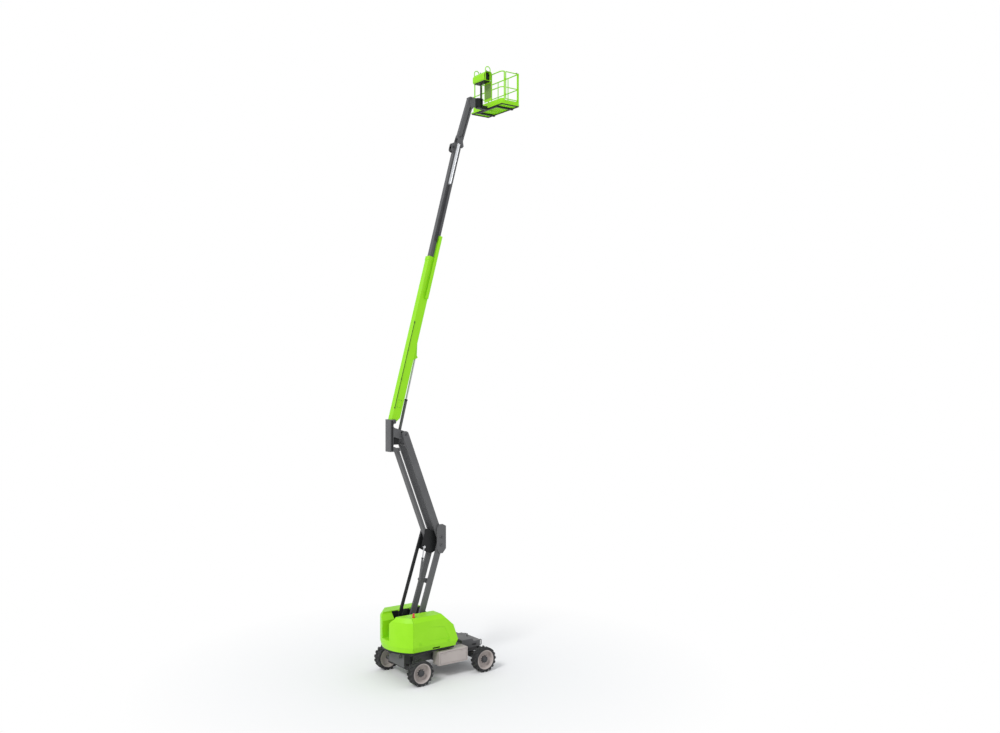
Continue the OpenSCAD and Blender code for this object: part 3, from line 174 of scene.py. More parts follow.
def mouldedPlastic(name, colour, rough=0.55, linkMm=0):
    # injection-moulded polymer with a leather grain, and the joints of its links where it is a chain
    grainMm = 2.5  # really under 1 mm, drawn coarser so that it shows
    cloudMm, paler, lift = 200, 1.5, 0.004
    made, tree, shader, coords = startMaterial(name)
    grain = addNode(tree, "ShaderNodeTexVoronoi", {"Vector": coords, "Scale": 1000 / grainMm})
    cloud = addNode(tree, "ShaderNodeTexNoise", {
        "Vector": coords, "Scale": 1000 / cloudMm, "Detail": 4.0})
    share = addNode(tree, "ShaderNodeMapRange", {
        "Value": cloud.outputs["Fac"], "From Min": 0.4, "From Max": 0.8})
    pale = [min(1, c * paler + lift) for c in srgb(colour)[:3]] + [1]
    tint = addNode(tree, "ShaderNodeMix", {
        "Factor": share.outputs["Result"], "A": srgb(colour), "B": pale}, data_type="RGBA")
    tree.links.new(tint.outputs["Result"], shader.inputs["Base Color"])
    shader.inputs["Roughness"].default_value = rough
    shader.inputs["IOR"].default_value = 1.49
    bump = addNode(tree, "ShaderNodeBump", {
        "Height": grain.outputs["Distance"], "Strength": 0.12, "Distance": 0.0006})
    if linkMm:
        run = addNode(tree, "ShaderNodeVectorMath", {0: coords, 1: boomDir}, operation="DOT_PRODUCT")
        turn = addNode(tree, "ShaderNodeMath", {
            0: run.outputs["Value"], 1: 1000 * math.tau / linkMm}, operation="MULTIPLY")
        wave = addNode(tree, "ShaderNodeMath", {0: turn.outputs[0]}, operation="SINE")
        step = addNode(tree, "ShaderNodeMapRange", {
            "Value": wave.outputs[0], "From Min": 0.0, "From Max": 0.35})
        bump = addNode(tree, "ShaderNodeBump", {
            "Height": step.outputs["Result"], "Strength": 0.9, "Distance": 0.006,
            "Normal": bump.outputs["Normal"]})
    tree.links.new(bump.outputs["Normal"], shader.inputs["Normal"])
    return made


def tintedLens(name, colour, fluteColour):
    # moulded polycarbonate lens: deep colour with vertical flutes
    fluteMm = 15.708
    waveRate = 20  # radians per unit that the wave texture has at scale 1
    made, tree, shader, coords = startMaterial(name)
    flute = addNode(tree, "ShaderNodeTexWave", {
        "Vector": coords, "Scale": 1000 * math.tau / waveRate / fluteMm, "Distortion": 0.0})
    tint = addNode(tree, "ShaderNodeMix", {
        "Factor": flute.outputs["Fac"], "A": srgb(colour), "B": srgb(fluteColour)}, data_type="RGBA")
    tree.links.new(tint.outputs["Result"], shader.inputs["Base Color"])
    shader.inputs["Roughness"].default_value = 0.18
    shader.inputs["IOR"].default_value = 1.58
    shader.inputs["Coat Weight"].default_value = 0.4
    return made


limeEnamel = sprayedEnamel("limeEnamelGloss", "#94DE15", "#9BE320", "#4A5A2A", 0.4, dust=0.06)
greyEnamel = sprayedEnamel("greyEnamelSatin", "#5C5C5D", "#646465", "#8A8A86", 0.48)
blackEnamel = sprayedEnamel("blackEnamelSatin", "#191A1B", "#222324", "#6A6A68", 0.45)
tanEnamel = sprayedEnamel("tanEnamelSatin", "#B1A8A4", "#BAB1AD", "#6B645F", 0.5)
# olive: lime darkened to paint the shade under the platform console on its column's rear face
shadeOliveEnamel = sprayedEnamel("paintedShadeOliveSatin", "#6B9040", "#739847", "#4A5A2A", 0.5)
hubEnamel = sprayedEnamel("hubEnamelDark", "#3E3F41", "#48494B", "#77756F", 0.5)
treadRubber = mouldedRubber("tyreRubberMoulded")
# hard chrome on a ground rod: bright, under a thin uneven oil film
rodChrome = metalSurface("rodChromeGround", "#D9DADC", "#B4B5B7", 80, 4.0, 1.0, 0.12, 0.28)
# zinc plating on drawn tube and on sheet: grey-white, softly mottled
tubeZinc = metalSurface("tubeZincPlated", "#D2D3D4", "#A7A9AB", 50, 5.0, 0.85, 0.3, 0.5)
sheetZinc = metalSurface("sheetZincBright", "#F6F7F8", "#E2E4E6", 50, 5.0, 0.85, 0.3, 0.5)
trackNylon = mouldedPlastic("trackNylonMoulded", "#2A2A2C", linkMm=55)
darkPlastic = mouldedPlastic("darkPolymerMoulded", "#141415")
redPlastic = mouldedPlastic("redPolymerMoulded", "#B0160F", rough=0.35)
lensRed = tintedLens("lensPolycarbonateRed", "#B8140F", "#E03A24")
print("materials made")

wheelEnds = [(end, hand) for end in ("rear", "front") for hand in ("right", "left")]
paintOf = {
    limeEnamel: ["counterweight", "hood_right", "hood_left", "main_boom", "cable_tray", "platform_floor",
                 "platform_rails", "control_console", "gate"],
    greyEnamel: ["chassis_frame", "knuckle_right", "knuckle_left", "lower_arms", "mid_link", "upright",
                 "upper_arms", "upper_link", "riser_barrel", "lift_barrel", "tele_boom", "jib_base",
                 "jib_arm", "jib_link", "jib_head"],
    blackEnamel: ["turntable", "steer_axle", "drive_axle", "slew_ring", "tie_rod", "lower_link",
                  "power_pack", "platform_support"],
    tanEnamel: ["side_boxes"] + ["rim_%s_%s" % pair for pair in wheelEnds],
    treadRubber: ["tyre_%s_%s" % pair for pair in wheelEnds],
    rodChrome: ["riser_rod", "lift_rod"],
    trackNylon: ["cable_track"],
    lensRed: ["beacon"],
}
for paint, names in paintOf.items():
    for name in names:
        nodes[name].data.materials.clear()
        nodes[name].data.materials.append(paint)


def secondPaint(name, paint, wanted):
    # faces of a node that the maker paints differently
    mesh = nodes[name].data
    mesh.materials.append(paint)
    for face in mesh.polygons:
        if wanted(face.center):
            face.material_index = 1


trackEnd = 8.3  # along the boom: the push tube begins here
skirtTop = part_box("turntable")[0].z + 0.08
linkPlates = 0.2  # the mid link's inner plates lie within this of the middle
rotatorFrom = 1.6
secondPaint("cable_track", tubeZinc, lambda p: (p - boomFoot).dot(boomDir) > trackEnd)
secondPaint("turntable", limeEnamel, lambda p: p.z < skirtTop)
secondPaint("mid_link", blackEnamel, lambda p: abs(p.y) < linkPlates)
secondPaint("jib_head", blackEnamel, lambda p: p.x > rotatorFrom)
print("nodes painted")


def turned(profile, sides=24):
    # a round piece raised from its base circle: (radius, height) pairs along +Z
    bpy.ops.object.select_all(action="DESELECT")
    radius, height = profile[0]
    bpy.ops.mesh.primitive_circle_add(vertices=sides, radius=radius, fill_type="NGON", location=(0, 0, height))
    piece = bpy.context.object
    bpy.ops.object.transform_apply(location=True, rotation=True, scale=True)
    bpy.ops.object.mode_set(mode="EDIT")
    bpy.ops.mesh.select_all(action="SELECT")
    for r, z in profile[1:]:
        bpy.ops.mesh.extrude_region_move(TRANSFORM_OT_translate={"value": (0, 0, z - height)})
        bpy.ops.transform.resize(value=(r / radius, r / radius, 1), center_override=(0, 0, z))
        radius, height = r, z
    bpy.ops.mesh.select_all(action="SELECT")
    bpy.ops.mesh.normals_make_consistent(inside=False)
    bpy.ops.object.mode_set(mode="OBJECT")
    return piece


def pick(piece, faces=None, edges=None, corners=None):
    # edit mode with only the faces, edges or corners that pass the test
    bpy.ops.object.mode_set(mode="EDIT")
    bpy.ops.mesh.select_mode(type="FACE" if faces else "EDGE" if edges else "VERT")
    bpy.ops.mesh.select_all(action="DESELECT")
    bpy.ops.object.mode_set(mode="OBJECT")
    mesh = piece.data
    for face in mesh.polygons if faces else []:
        face.select = faces(face)
    for edge in mesh.edges if edges else []:
        edge.select = edges(*[mesh.vertices[i].co for i in edge.vertices])
    for corner in mesh.vertices if corners else []:
        corner.select = corners(corner.co)
    bpy.ops.object.mode_set(mode="EDIT")


def slab(size, corner, rim=0.0, sink=0.0):
    # a plate lying on Z = 0 with rounded corners, and its face sunk inside a rim
    bpy.ops.object.select_all(action="DESELECT")
    bpy.ops.mesh.primitive_cube_add(size=1, location=(0, 0, size[2] / 2))
    piece = bpy.context.object
    piece.scale = size
    bpy.ops.object.transform_apply(location=True, rotation=True, scale=True)
    pick(piece, edges=lambda a, b: abs(a.z - b.z) > size[2] / 2)
    bpy.ops.mesh.bevel(offset=corner, segments=4, affect="EDGES")
    bpy.ops.object.mode_set(mode="OBJECT")
    if rim:
        pick(piece, faces=lambda f: f.normal.z > 0.9)
        bpy.ops.mesh.inset(thickness=rim, depth=0)
        bpy.ops.mesh.inset(thickness=abs(sink) / 2, depth=-sink)
        bpy.ops.object.mode_set(mode="OBJECT")
    return piece


def together(pieces):
    bpy.ops.object.select_all(action="DESELECT")
    for piece in pieces:
        piece.select_set(True)
    bpy.context.view_layer.objects.active = pieces[0]
    if len(pieces) > 1:
        bpy.ops.object.join()
    return pieces[0]


def facing(place, outward, along=(0, 0, 1)):
    # a place whose +Z looks outward and whose +X runs along
    z = Vector(outward).normalized()
    x = (Vector(along) - z * Vector(along).dot(z)).normalized()
    return Matrix.Translation(place) @ Matrix((x, z.cross(x), z)).transposed().to_4x4()


def fourCorners(x, y, z):
    return [Matrix.Translation((i * x, j * y, z)) for i in bothSides for j in bothSides]


def moved(piece, spot):
    piece.data.transform(spot)
    return piece


def repeated(source, spots):
    # copies of one model at its places, each with its own mesh
    twins = []
    for spot in spots:
        twin = source.copy()
        twin.data = source.data.copy()
        bpy.context.collection.objects.link(twin)
        twins.append(moved(twin, spot))
    bpy.data.objects.remove(source)
    return together(twins)


def settle(piece, name, body, paint, edgeMm=1.5):
    # soft edges, smooth shading, paint, and the body that carries it
    together([piece])
    if edgeMm:
        soft = piece.modifiers.new("softEdges", "BEVEL")
        soft.width = edgeMm / 1000
        soft.segments = 2
        soft.limit_method = "ANGLE"
        soft.angle_limit = math.radians(40)
        bpy.ops.object.modifier_apply(modifier=soft.name)
    bpy.ops.object.shade_smooth_by_angle(angle=math.radians(35))
    piece.name = name
    piece.data.materials.clear()
    piece.data.materials.append(paint)
    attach(piece, body)
    return piece


def boltHead(r, h):
    # hexagon head on a washer
    washer = turned([(r * 1.4, 0), (r * 1.4, h * 0.22), (r * 1.3, h * 0.3)])
    head = turned([(r * 1.1, h * 0.25), (r * 1.1, h * 0.9), (r * 0.95, h * 1.1)], 6)
    return together([washer, head])


def reachY(node, x, z, radius, side):
    # how far out a node's pin reaches round an axis along Y
    return max(v.co.y * side for v in nodes[node].data.vertices
               if math.hypot(v.co.x - x, v.co.z - z) < radius)


def onBoom(s, y, q):
    # a point s along the boom from its foot, y across and q towards its back
    return boomFoot + boomDir * s + Vector((0, y, 0)) + Vector((-boomDir.z, 0, boomDir.x)) * q


def boomSides(s, out, q):
    # mirrored places on the boom's two sides
    return [facing(onBoom(s, side * out, q), (0, side, 0), boomDir) for side in bothSides]


# keeper plates on the riser's, the boom's and the jib's pin heads
keeper = {"size": (0.088, 0.034, 0.007), "corner": 0.008, "inset": (0.004, 0.0015), "slope": (0.7, 0, 0.7),
          "bolt": (0.0085, 0.009), "boltAt": 0.03, "boltUp": 0.0052, "pinReach": 0.06,
          "pins": {"turntable": ["riser_lift"], "mid_link": ["mid_link_level", "upper_arms_fold"],
                   "upright": ["upright_level", "boom_luff"], "jib_base": ["jib_lift"],
                   "jib_head": ["jib_head_level"]}}
for body, pinNames in keeper["pins"].items():
    spots = []
    for x, y, z in [joints[pin]["pos_m"] for pin in pinNames]:
        for side in bothSides:
            out = side * reachY(body, x, z, keeper["pinReach"], side)
            spots.append(facing((x, out, z), (0, side, 0), keeper["slope"]))
    plate = slab(keeper["size"], keeper["corner"], *keeper["inset"])
    bolts = repeated(boltHead(*keeper["bolt"]),
                     [Matrix.Translation((side * keeper["boltAt"], 0, keeper["boltUp"])) for side in bothSides])
    settle(repeated(together([plate, bolts]), spots), "keepers_" + body, body, hubEnamel, 0.8)
print("pin keepers made")

# wheels: pressed rims with a deep dish, drive hubs, nuts and valves
wheel = {"rim": [(0.118, -0.035), (0.262, -0.03), (0.282, -0.128), (0.3, -0.1465), (0.3195, -0.1465),
                 (0.3195, 0.1465), (0.303, 0.1465), (0.297, 0.138), (0.286, 0.128), (0.276, 0.06),
                 (0.266, 0.0), (0.25, -0.014), (0.18, -0.008), (0.158, 0.024), (0.146, 0.043)],
         "hub": [(0.112, 0.04), (0.112, 0.05), (0.1, 0.056), (0.098, 0.112), (0.09, 0.122), (0.064, 0.124),
                 (0.062, 0.13), (0.036, 0.131), (0.034, 0.137), (0.02, 0.138)],
         "nut": (0.0105, 0.02), "nutAt": (0.129, 0, 0.042), "nuts": 10,
         "valve": [(0.009, 0), (0.009, 0.012), (0.005, 0.014), (0.005, 0.034), (0.0065, 0.035),
                   (0.0065, 0.045), (0.005, 0.047)], "valveAt": (0.215, 0, -0.016), "valveTurn": 40.0}
wheelY = (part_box("rim_rear_left")[0].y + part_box("rim_rear_left")[1].y) / 2
for end, hand in wheelEnds:
    body, tag = "wheel_%s_%s" % (end, hand), "_%s_%s" % (end, hand)
    side = -1 if hand == "right" else 1
    x, y, z = joints[body]["pos_m"]
    face = facing((x, side * wheelY, z), (0, side, 0))
    rim = settle(moved(turned(wheel["rim"], 64), face), "rimDish" + tag, body, tanEnamel)
    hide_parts("rim" + tag)
    settle(moved(turned(wheel["hub"], 40), face), "driveHub" + tag, body, hubEnamel, 1)
    turns = [Matrix.Rotation(i * math.tau / wheel["nuts"], 4, "Z") for i in range(wheel["nuts"])]
    nuts = repeated(boltHead(*wheel["nut"]), [face @ t @ Matrix.Translation(wheel["nutAt"]) for t in turns])
    settle(nuts, "wheelNuts" + tag, body, blackEnamel, 0.5)
    turn = Matrix.Rotation(math.radians(wheel["valveTurn"]), 4, "Z")
    valve = moved(turned(wheel["valve"], 12), face @ turn @ Matrix.Translation(wheel["valveAt"]))
    settle(valve, "tyreValve" + tag, body, darkPlastic, 0)
print("wheels dressed")

# steel oil line clamped along the boom's right side
oilLine = {"from": 0.42, "length": 3.0, "out": -0.1275, "up": 0.079, "start": [(0.006, 0), (0.008, 0.004)],
           "end": [(0.008, -0.03), (0.0125, -0.028), (0.0125, -0.006), (0.009, 0)],
           "clamp": (0.034, 0.03, 0.019), "corner": 0.006, "clampOut": -0.118, "clampAt": [0.46, 1.42, 2.4, 3.38]}
pipe = turned(oilLine["start"] + [(r, oilLine["length"] + z) for r, z in oilLine["end"]], 14)
moved(pipe, facing(onBoom(oilLine["from"], oilLine["out"], oilLine["up"]), boomDir, (0, 1, 0)))
settle(pipe, "boomOilLine", "main_boom", blackEnamel, 0)
spots = [facing(onBoom(s, oilLine["clampOut"], oilLine["up"]), (0, -1, 0), boomDir) for s in oilLine["clampAt"]]
clamps = repeated(slab(oilLine["clamp"], oilLine["corner"]), spots)
settle(clamps, "boomLineClamps", "main_boom", darkPlastic, 2)

# cover plates with bolts on both sides of the boom's foot
cover = {"size": (0.26, 0.13, 0.006), "corner": 0.018, "inset": (0.008, 0.002), "place": (0.62, 0.118, -0.06),
         "bolt": (0.007, 0.008), "boltAt": (0.112, 0.047, 0.0035)}
spots = boomSides(*cover["place"])
plate = slab(cover["size"], cover["corner"], *cover["inset"])
bolts = repeated(boltHead(*cover["bolt"]), fourCorners(*cover["boltAt"]))
settle(repeated(plate, spots), "boomCovers", "main_boom", limeEnamel, 1)
settle(repeated(bolts, spots), "boomCoverBolts", "main_boom", hubEnamel, 0.4)

# upright: a channel column with open arms out to its pins, and a dark valve block between them
upright = {"x": (-1.83, -1.232), "z": (7.49, 8.55), "inner": 0.125, "thick": 0.032, "corner": 0.045,
           "columnTo": -1.7, "headTo": -1.6, "toeTo": -1.45, "gaps": [(7.62, 7.98), (8.29, 8.41)],
           "frontDrop": -0.15, "wall": 0.045, "wallLap": 0.01, "wallCorner": 0.004,
           "duct": (1.0, 0.06, 0.014), "ductCorner": 0.016, "ductInset": (0.008, 0.004), "ductX": -1.755,
           "block": (0.25, 0.25, 0.22), "blockCorner": 0.03, "blockInset": (0.02, 0.012),
           "blockAt": (-1.6, 0, 7.72), "pinEase": 0.004, "pinEnd": 0.9,
           "pins": [((-1.6821, 8.4804), 0.04, -0.169, 0.169), ((-1.3021, 8.0504), 0.04, -0.275, -0.125),
                    ((-1.3021, 8.0504), 0.04, 0.125, 0.275), ((-1.5171, 7.5504), 0.025, -0.157, 0.157),
                    ((-1.4001, 8.1204), 0.025, -0.157, 0.157)]}
near = 0.001
(rearX, frontX), (lowZ, highZ) = upright["x"], upright["z"]
middle = Vector(((rearX + frontX) / 2, 0, (lowZ + highZ) / 2))


def openBetweenArms(face):
    x, z = face.center.x, face.center.z
    between = any(low < z < high for low, high in upright["gaps"])
    overHead, underToe = z > upright["gaps"][1][1], z < upright["gaps"][0][0]
    return (x > upright["columnTo"] and between or x > upright["headTo"] and overHead
            or x > upright["toeTo"] and underToe)


bpy.ops.object.select_all(action="DESELECT")
bpy.ops.mesh.primitive_plane_add(size=1, location=middle, rotation=(math.pi / 2, 0, 0))
cheek = bpy.context.object
cheek.scale = (frontX - rearX, highZ - lowZ, 1)
bpy.ops.object.transform_apply(location=True, rotation=True, scale=True)
bpy.ops.object.mode_set(mode="EDIT")
for x in (upright["columnTo"], upright["headTo"], upright["toeTo"]):
    bpy.ops.mesh.select_all(action="SELECT")
    bpy.ops.mesh.bisect(plane_co=(x, 0, 0), plane_no=(1, 0, 0))
for z in [z for gap in upright["gaps"] for z in gap]:
    bpy.ops.mesh.select_all(action="SELECT")
    bpy.ops.mesh.bisect(plane_co=(0, 0, z), plane_no=(0, 0, 1))
bpy.ops.object.mode_set(mode="OBJECT")
pick(cheek, faces=openBetweenArms)
bpy.ops.mesh.delete(type="FACE")
bpy.ops.mesh.select_all(action="SELECT")
bpy.ops.mesh.dissolve_limited(angle_limit=0.01)
bpy.ops.object.mode_set(mode="OBJECT")
# the front arm's end comes down, then all but the column's rear corners are rounded
pick(cheek, corners=lambda c: c.x > frontX - near)
bpy.ops.transform.translate(value=(0, 0, upright["frontDrop"]))
bpy.ops.object.mode_set(mode="OBJECT")
pick(cheek, corners=lambda c: c.x > rearX + near)
bpy.ops.mesh.bevel(offset=upright["corner"], segments=5, affect="VERTICES")
bpy.ops.mesh.select_all(action="SELECT")
bpy.ops.mesh.extrude_region_move(TRANSFORM_OT_translate={"value": (0, upright["thick"], 0)})
bpy.ops.mesh.select_all(action="SELECT")
bpy.ops.mesh.normals_make_consistent(inside=False)
bpy.ops.object.mode_set(mode="OBJECT")
outer = upright["inner"] + upright["thick"]
cheeks = repeated(cheek, [Matrix.Translation((0, y, 0)) for y in (upright["inner"], -outer)])
wall = slab((highZ - lowZ, 2 * upright["inner"] + upright["wallLap"], upright["wall"]), upright["wallCorner"])
moved(wall, facing((rearX + upright["wall"], 0, middle.z), (-1, 0, 0)))
frameOfUpright = settle(together([cheeks, wall]), "uprightFrame", "upright", greyEnamel, 3)
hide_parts("upright")
pins = []
for (x, z), r, y0, y1 in upright["pins"]:
    length, ease, end = y1 - y0, upright["pinEase"], r * upright["pinEnd"]
    pin = turned([(end, 0), (r, ease), (r, length - ease), (end, length)], 32)
    pins.append(moved(pin, facing((x, y0, z), (0, 1, 0))))
settle(together(pins), "uprightPins", "upright", greyEnamel, 0)
ducts = repeated(slab(upright["duct"], upright["ductCorner"], *upright["ductInset"]),
                 [facing((upright["ductX"], side * outer, middle.z), (0, side, 0)) for side in bothSides])
settle(ducts, "uprightDucts", "upright", darkPlastic, 1)
block = slab(upright["block"], upright["blockCorner"], *upright["blockInset"])
moved(block, Matrix.Translation(upright["blockAt"]))
settle(block, "uprightValveBlock", "upright", blackEnamel, 3)
print("upright made")

# zinc channel over the cable track's push tube
channel = {"size": (1.46, 0.1, 0.016), "corner": 0.024, "inset": (0.016, 0.006), "place": (9.05, -0.181, -0.005)}
sheet = slab(channel["size"], channel["corner"], *channel["inset"])
moved(sheet, facing(onBoom(*channel["place"]), (0, -1, 0), boomDir))
settle(sheet, "pushTubeChannel", "tele_boom", sheetZinc, 1)

# rounded lugs with bosses on the back of the telescope's tip
lug = {"size": (0.33, 0.19, 0.013), "corner": 0.085, "at": 9.635, "out": 0.067, "up": 0.095, "bossUp": 0.125,
       "boss": [(0.05, 0), (0.05, 0.014), (0.034, 0.016), (0.034, 0.019), (0.028, 0.02)]}
lugs = repeated(slab(lug["size"], lug["corner"]), boomSides(lug["at"], lug["out"], lug["up"]))
settle(lugs, "boomTipLugs", "tele_boom", greyEnamel, 2)
bosses = repeated(turned(lug["boss"], 28), boomSides(lug["at"], lug["out"], lug["bossUp"]))
settle(bosses, "boomTipBosses", "tele_boom", hubEnamel, 1)
print("boom fittings made")

# brackets with a window, on both sides of the deck's front end
bracket = {"size": (0.12, 0.2, 0.025), "corner": 0.032, "rim": 0.026, "place": (1.541, 0.455, 0.79)}
plate = slab(bracket["size"], bracket["corner"])
pick(plate, faces=lambda f: abs(f.normal.z) > 0.9)
bpy.ops.mesh.inset(thickness=bracket["rim"], depth=0)
bpy.ops.mesh.bridge_edge_loops()
bpy.ops.object.mode_set(mode="OBJECT")
x, y, z = bracket["place"]
plates = repeated(plate, [facing((x, side * y, z), (0, side, 0), (1, 0, 0)) for side in bothSides])
settle(plates, "endBrackets", "chassis", greyEnamel, 2)

# flush latches on the side boxes and the hoods
latch = {"size": (0.1, 0.065, 0.008), "corner": 0.012, "inset": (0.006, 0.005), "out": 1.0,
         "paddle": (0.06, 0.04, 0.007), "paddleCorner": 0.008, "paddleInset": (0.006, 0.002), "paddleUp": 0.002,
         "box": [(-0.25, 0.84), (0.44, 0.84)], "hood": [(-1.2, 1.3), (-0.1, 1.26)]}
for kind, slotName, paint in (("box", "tan_paint", tanEnamel), ("hood", "lime_paint", limeEnamel)):
    for hand, side in (("right", -1), ("left", 1)):
        surround = slab(latch["size"], latch["corner"], *latch["inset"])
        paddle = slab(latch["paddle"], latch["paddleCorner"], *latch["paddleInset"])
        moved(paddle, Matrix.Translation((0, 0, latch["paddleUp"])))
        pair = repeated(together([surround, paddle]),
                        [facing((x, side * latch["out"], z), (0, side, 0), (1, 0, 0)) for x, z in latch[kind]])
        body = "chassis" if kind == "box" else "hood_" + hand
        settle(pair, kind + "Latches_" + hand, body, paint, 0.8)
print("latches and brackets made")

# rail feet: flanges with four bolts under each post, inside the floor's edge
railBack, railFront, railY, floorTop, railTop = 2.1613, 2.8773, 0.893, 19.4263, 20.5013
railFoot = {"size": (0.09, 0.09, 0.008), "corner": 0.012, "bolt": (0.006, 0.007), "boltAt": (0.033, 0.033, 0.008),
            "edgeIn": 0.025, "posts": [(railBack + 0.11, -railY), (railBack + 0.11, railY),
                                       (railFront, -railY), (railFront, railY)]
            + [(x, y) for x in (railBack, railFront) for y in (-railY / 3, railY / 3)]}
spots = []
for x, y in railFoot["posts"]:
    x = min(max(x, railBack + railFoot["edgeIn"]), railFront - railFoot["edgeIn"])
    y = min(max(y, railFoot["edgeIn"] - railY), railY - railFoot["edgeIn"])
    spots.append(Matrix.Translation((x, y, floorTop)))
flange = slab(railFoot["size"], railFoot["corner"])
bolts = repeated(boltHead(*railFoot["bolt"]), fourCorners(*railFoot["boltAt"]))
settle(repeated(flange, spots), "railFeet", "platform", limeEnamel, 1)
settle(repeated(bolts, spots), "railFootBolts", "platform", hubEnamel, 0.3)

# platform console: dark control box inside the cover, levers, stop button and switches on its top
desk = {"top": 20.5913, "box": (0.2, 0.56, 0.2), "boxCorner": 0.03, "boxInset": (0.02, 0.012),
        "boxAt": (1.985, 0.03, 20.33), "leverAt": [(2.03, -0.17), (2.03, 0.2)], "stopAt": (2.03, 0.02),
        "switchAt": [(2.06, y) for y in (-0.09, -0.055, 0.075, 0.11, 0.145)],
        "lever": [(0.03, 0), (0.03, 0.004), (0.025, 0.009), (0.027, 0.013), (0.02, 0.019), (0.022, 0.023),
                  (0.014, 0.029), (0.007, 0.033), (0.007, 0.052), (0.013, 0.055), (0.015, 0.068),
                  (0.013, 0.08), (0.008, 0.085)],
        "stop": [(0.03, 0), (0.03, 0.012), (0.018, 0.014), (0.018, 0.024), (0.03, 0.028), (0.031, 0.038),
                 (0.022, 0.046), (0.01, 0.048)],
        "toggle": [(0.011, 0), (0.011, 0.005), (0.006, 0.006), (0.0045, 0.02), (0.006, 0.03), (0.004, 0.033)],
        "panel": (0.13, 0.56, 0.004), "panelCorner": 0.02, "panelInset": (0.01, 0.0015),
        "panelAt": (2.03, 0.02, 20.5903)}
inner = slab(desk["box"], desk["boxCorner"], *desk["boxInset"])
moved(inner, Matrix.Translation(desk["boxAt"]))
settle(inner, "controlBox", "platform", darkPlastic, 3)
levers = repeated(turned(desk["lever"], 20), [Matrix.Translation((x, y, desk["top"])) for x, y in desk["leverAt"]])
settle(levers, "driveLevers", "platform", darkPlastic, 0)
stop = moved(turned(desk["stop"]), Matrix.Translation((*desk["stopAt"], desk["top"])))
settle(stop, "stopButton", "platform", redPlastic, 0.6)
toggles = repeated(turned(desk["toggle"], 10), [Matrix.Translation((x, y, desk["top"])) for x, y in desk["switchAt"]])
settle(toggles, "consoleSwitches", "platform", darkPlastic, 0)
panel = slab(desk["panel"], desk["panelCorner"], *desk["panelInset"])
moved(panel, Matrix.Translation(desk["panelAt"]))
settle(panel, "consolePanel", "platform", darkPlastic, 0.6)

# foot switch on the floor: a pedal under a guard
foot = {"size": (0.22, 0.14, 0.03), "corner": 0.02, "rim": 0.012, "rise": 0.022, "taper": (0.8, 0.85, 1),
        "taperTo": (0.03, 0, 0.05), "place": (2.42, 0.1, floorTop)}
pedal = slab(foot["size"], foot["corner"])
pick(pedal, faces=lambda f: f.normal.z > 0.9)
bpy.ops.mesh.inset(thickness=foot["rim"], depth=0)
bpy.ops.mesh.extrude_region_move(TRANSFORM_OT_translate={"value": (0, 0, foot["rise"])})
bpy.ops.transform.resize(value=foot["taper"], center_override=foot["taperTo"])
bpy.ops.object.mode_set(mode="OBJECT")
moved(pedal, Matrix.Translation(foot["place"]))
settle(pedal, "footSwitch", "platform", darkPlastic, 3)

# rubber edge strips under the floor's rim, and the tray under the console
edging = {"long": (0.03, 1.82, 0.03), "short": (0.69, 0.03, 0.03), "corner": 0.006, "base": 19.351,
          "longX": (2.157, 2.881), "shortX": 2.519, "shortY": 0.897}
longs = repeated(slab(edging["long"], edging["corner"]),
                 [Matrix.Translation((x, 0, edging["base"])) for x in edging["longX"]])
shorts = repeated(slab(edging["short"], edging["corner"]),
                  [Matrix.Translation((edging["shortX"], side * edging["shortY"], edging["base"]))
                   for side in bothSides])
settle(together([longs, shorts]), "floorEdging", "platform", darkPlastic, 2)
tray = {"size": (0.24, 0.62, 0.03), "corner": 0.03, "inset": (0.02, 0.004), "place": (1.98, 0.02, 20.246)}
dish = moved(slab(tray["size"], tray["corner"], *tray["inset"]), Matrix.Translation(tray["place"]))
settle(dish, "consoleTray", "platform", darkPlastic, 2)

# console's column: an olive panel on its rear face, its darker olive being painted shade under the console, and a
# black post beside it
column = {"under": 20.1, "panel": (0.5, 0.36, 0.008), "panelCorner": 0.02, "panelInset": (0.016, 0.004),
          "panelAt": (-0.128, 19.95), "post": (0.6, 0.05, 0.036), "postCorner": 0.01,
          "postInset": (0.006, 0.003), "postAt": (2.139, 0.3, 19.95)}
columnRear = min(v.co.x for v in nodes["control_console"].data.vertices if v.co.z < column["under"])
panel = slab(column["panel"], column["panelCorner"], *column["panelInset"])
moved(panel, facing((columnRear, *column["panelAt"]), (-1, 0, 0)))
# this olive panel is painted shade under the console, laid on the column's rear face
settle(panel, "columnShadePanel", "platform", shadeOliveEnamel, 1)
post = slab(column["post"], column["postCorner"], *column["postInset"])
moved(post, facing(column["postAt"], (-1, 0, 0)))
settle(post, "consolePost", "platform", blackEnamel, 2)

# gate latch at the free end of the gate's top rail
catch = {"size": (0.06, 0.03, 0.018), "corner": 0.007, "inset": (0.004, 0.002), "x": 2.8, "over": 0.014}
bolt = slab(catch["size"], catch["corner"], *catch["inset"])
moved(bolt, Matrix.Translation((catch["x"], -railY, railTop + catch["over"])))
settle(bolt, "gateCatch", "gate", darkPlastic)
print("platform fittings made")

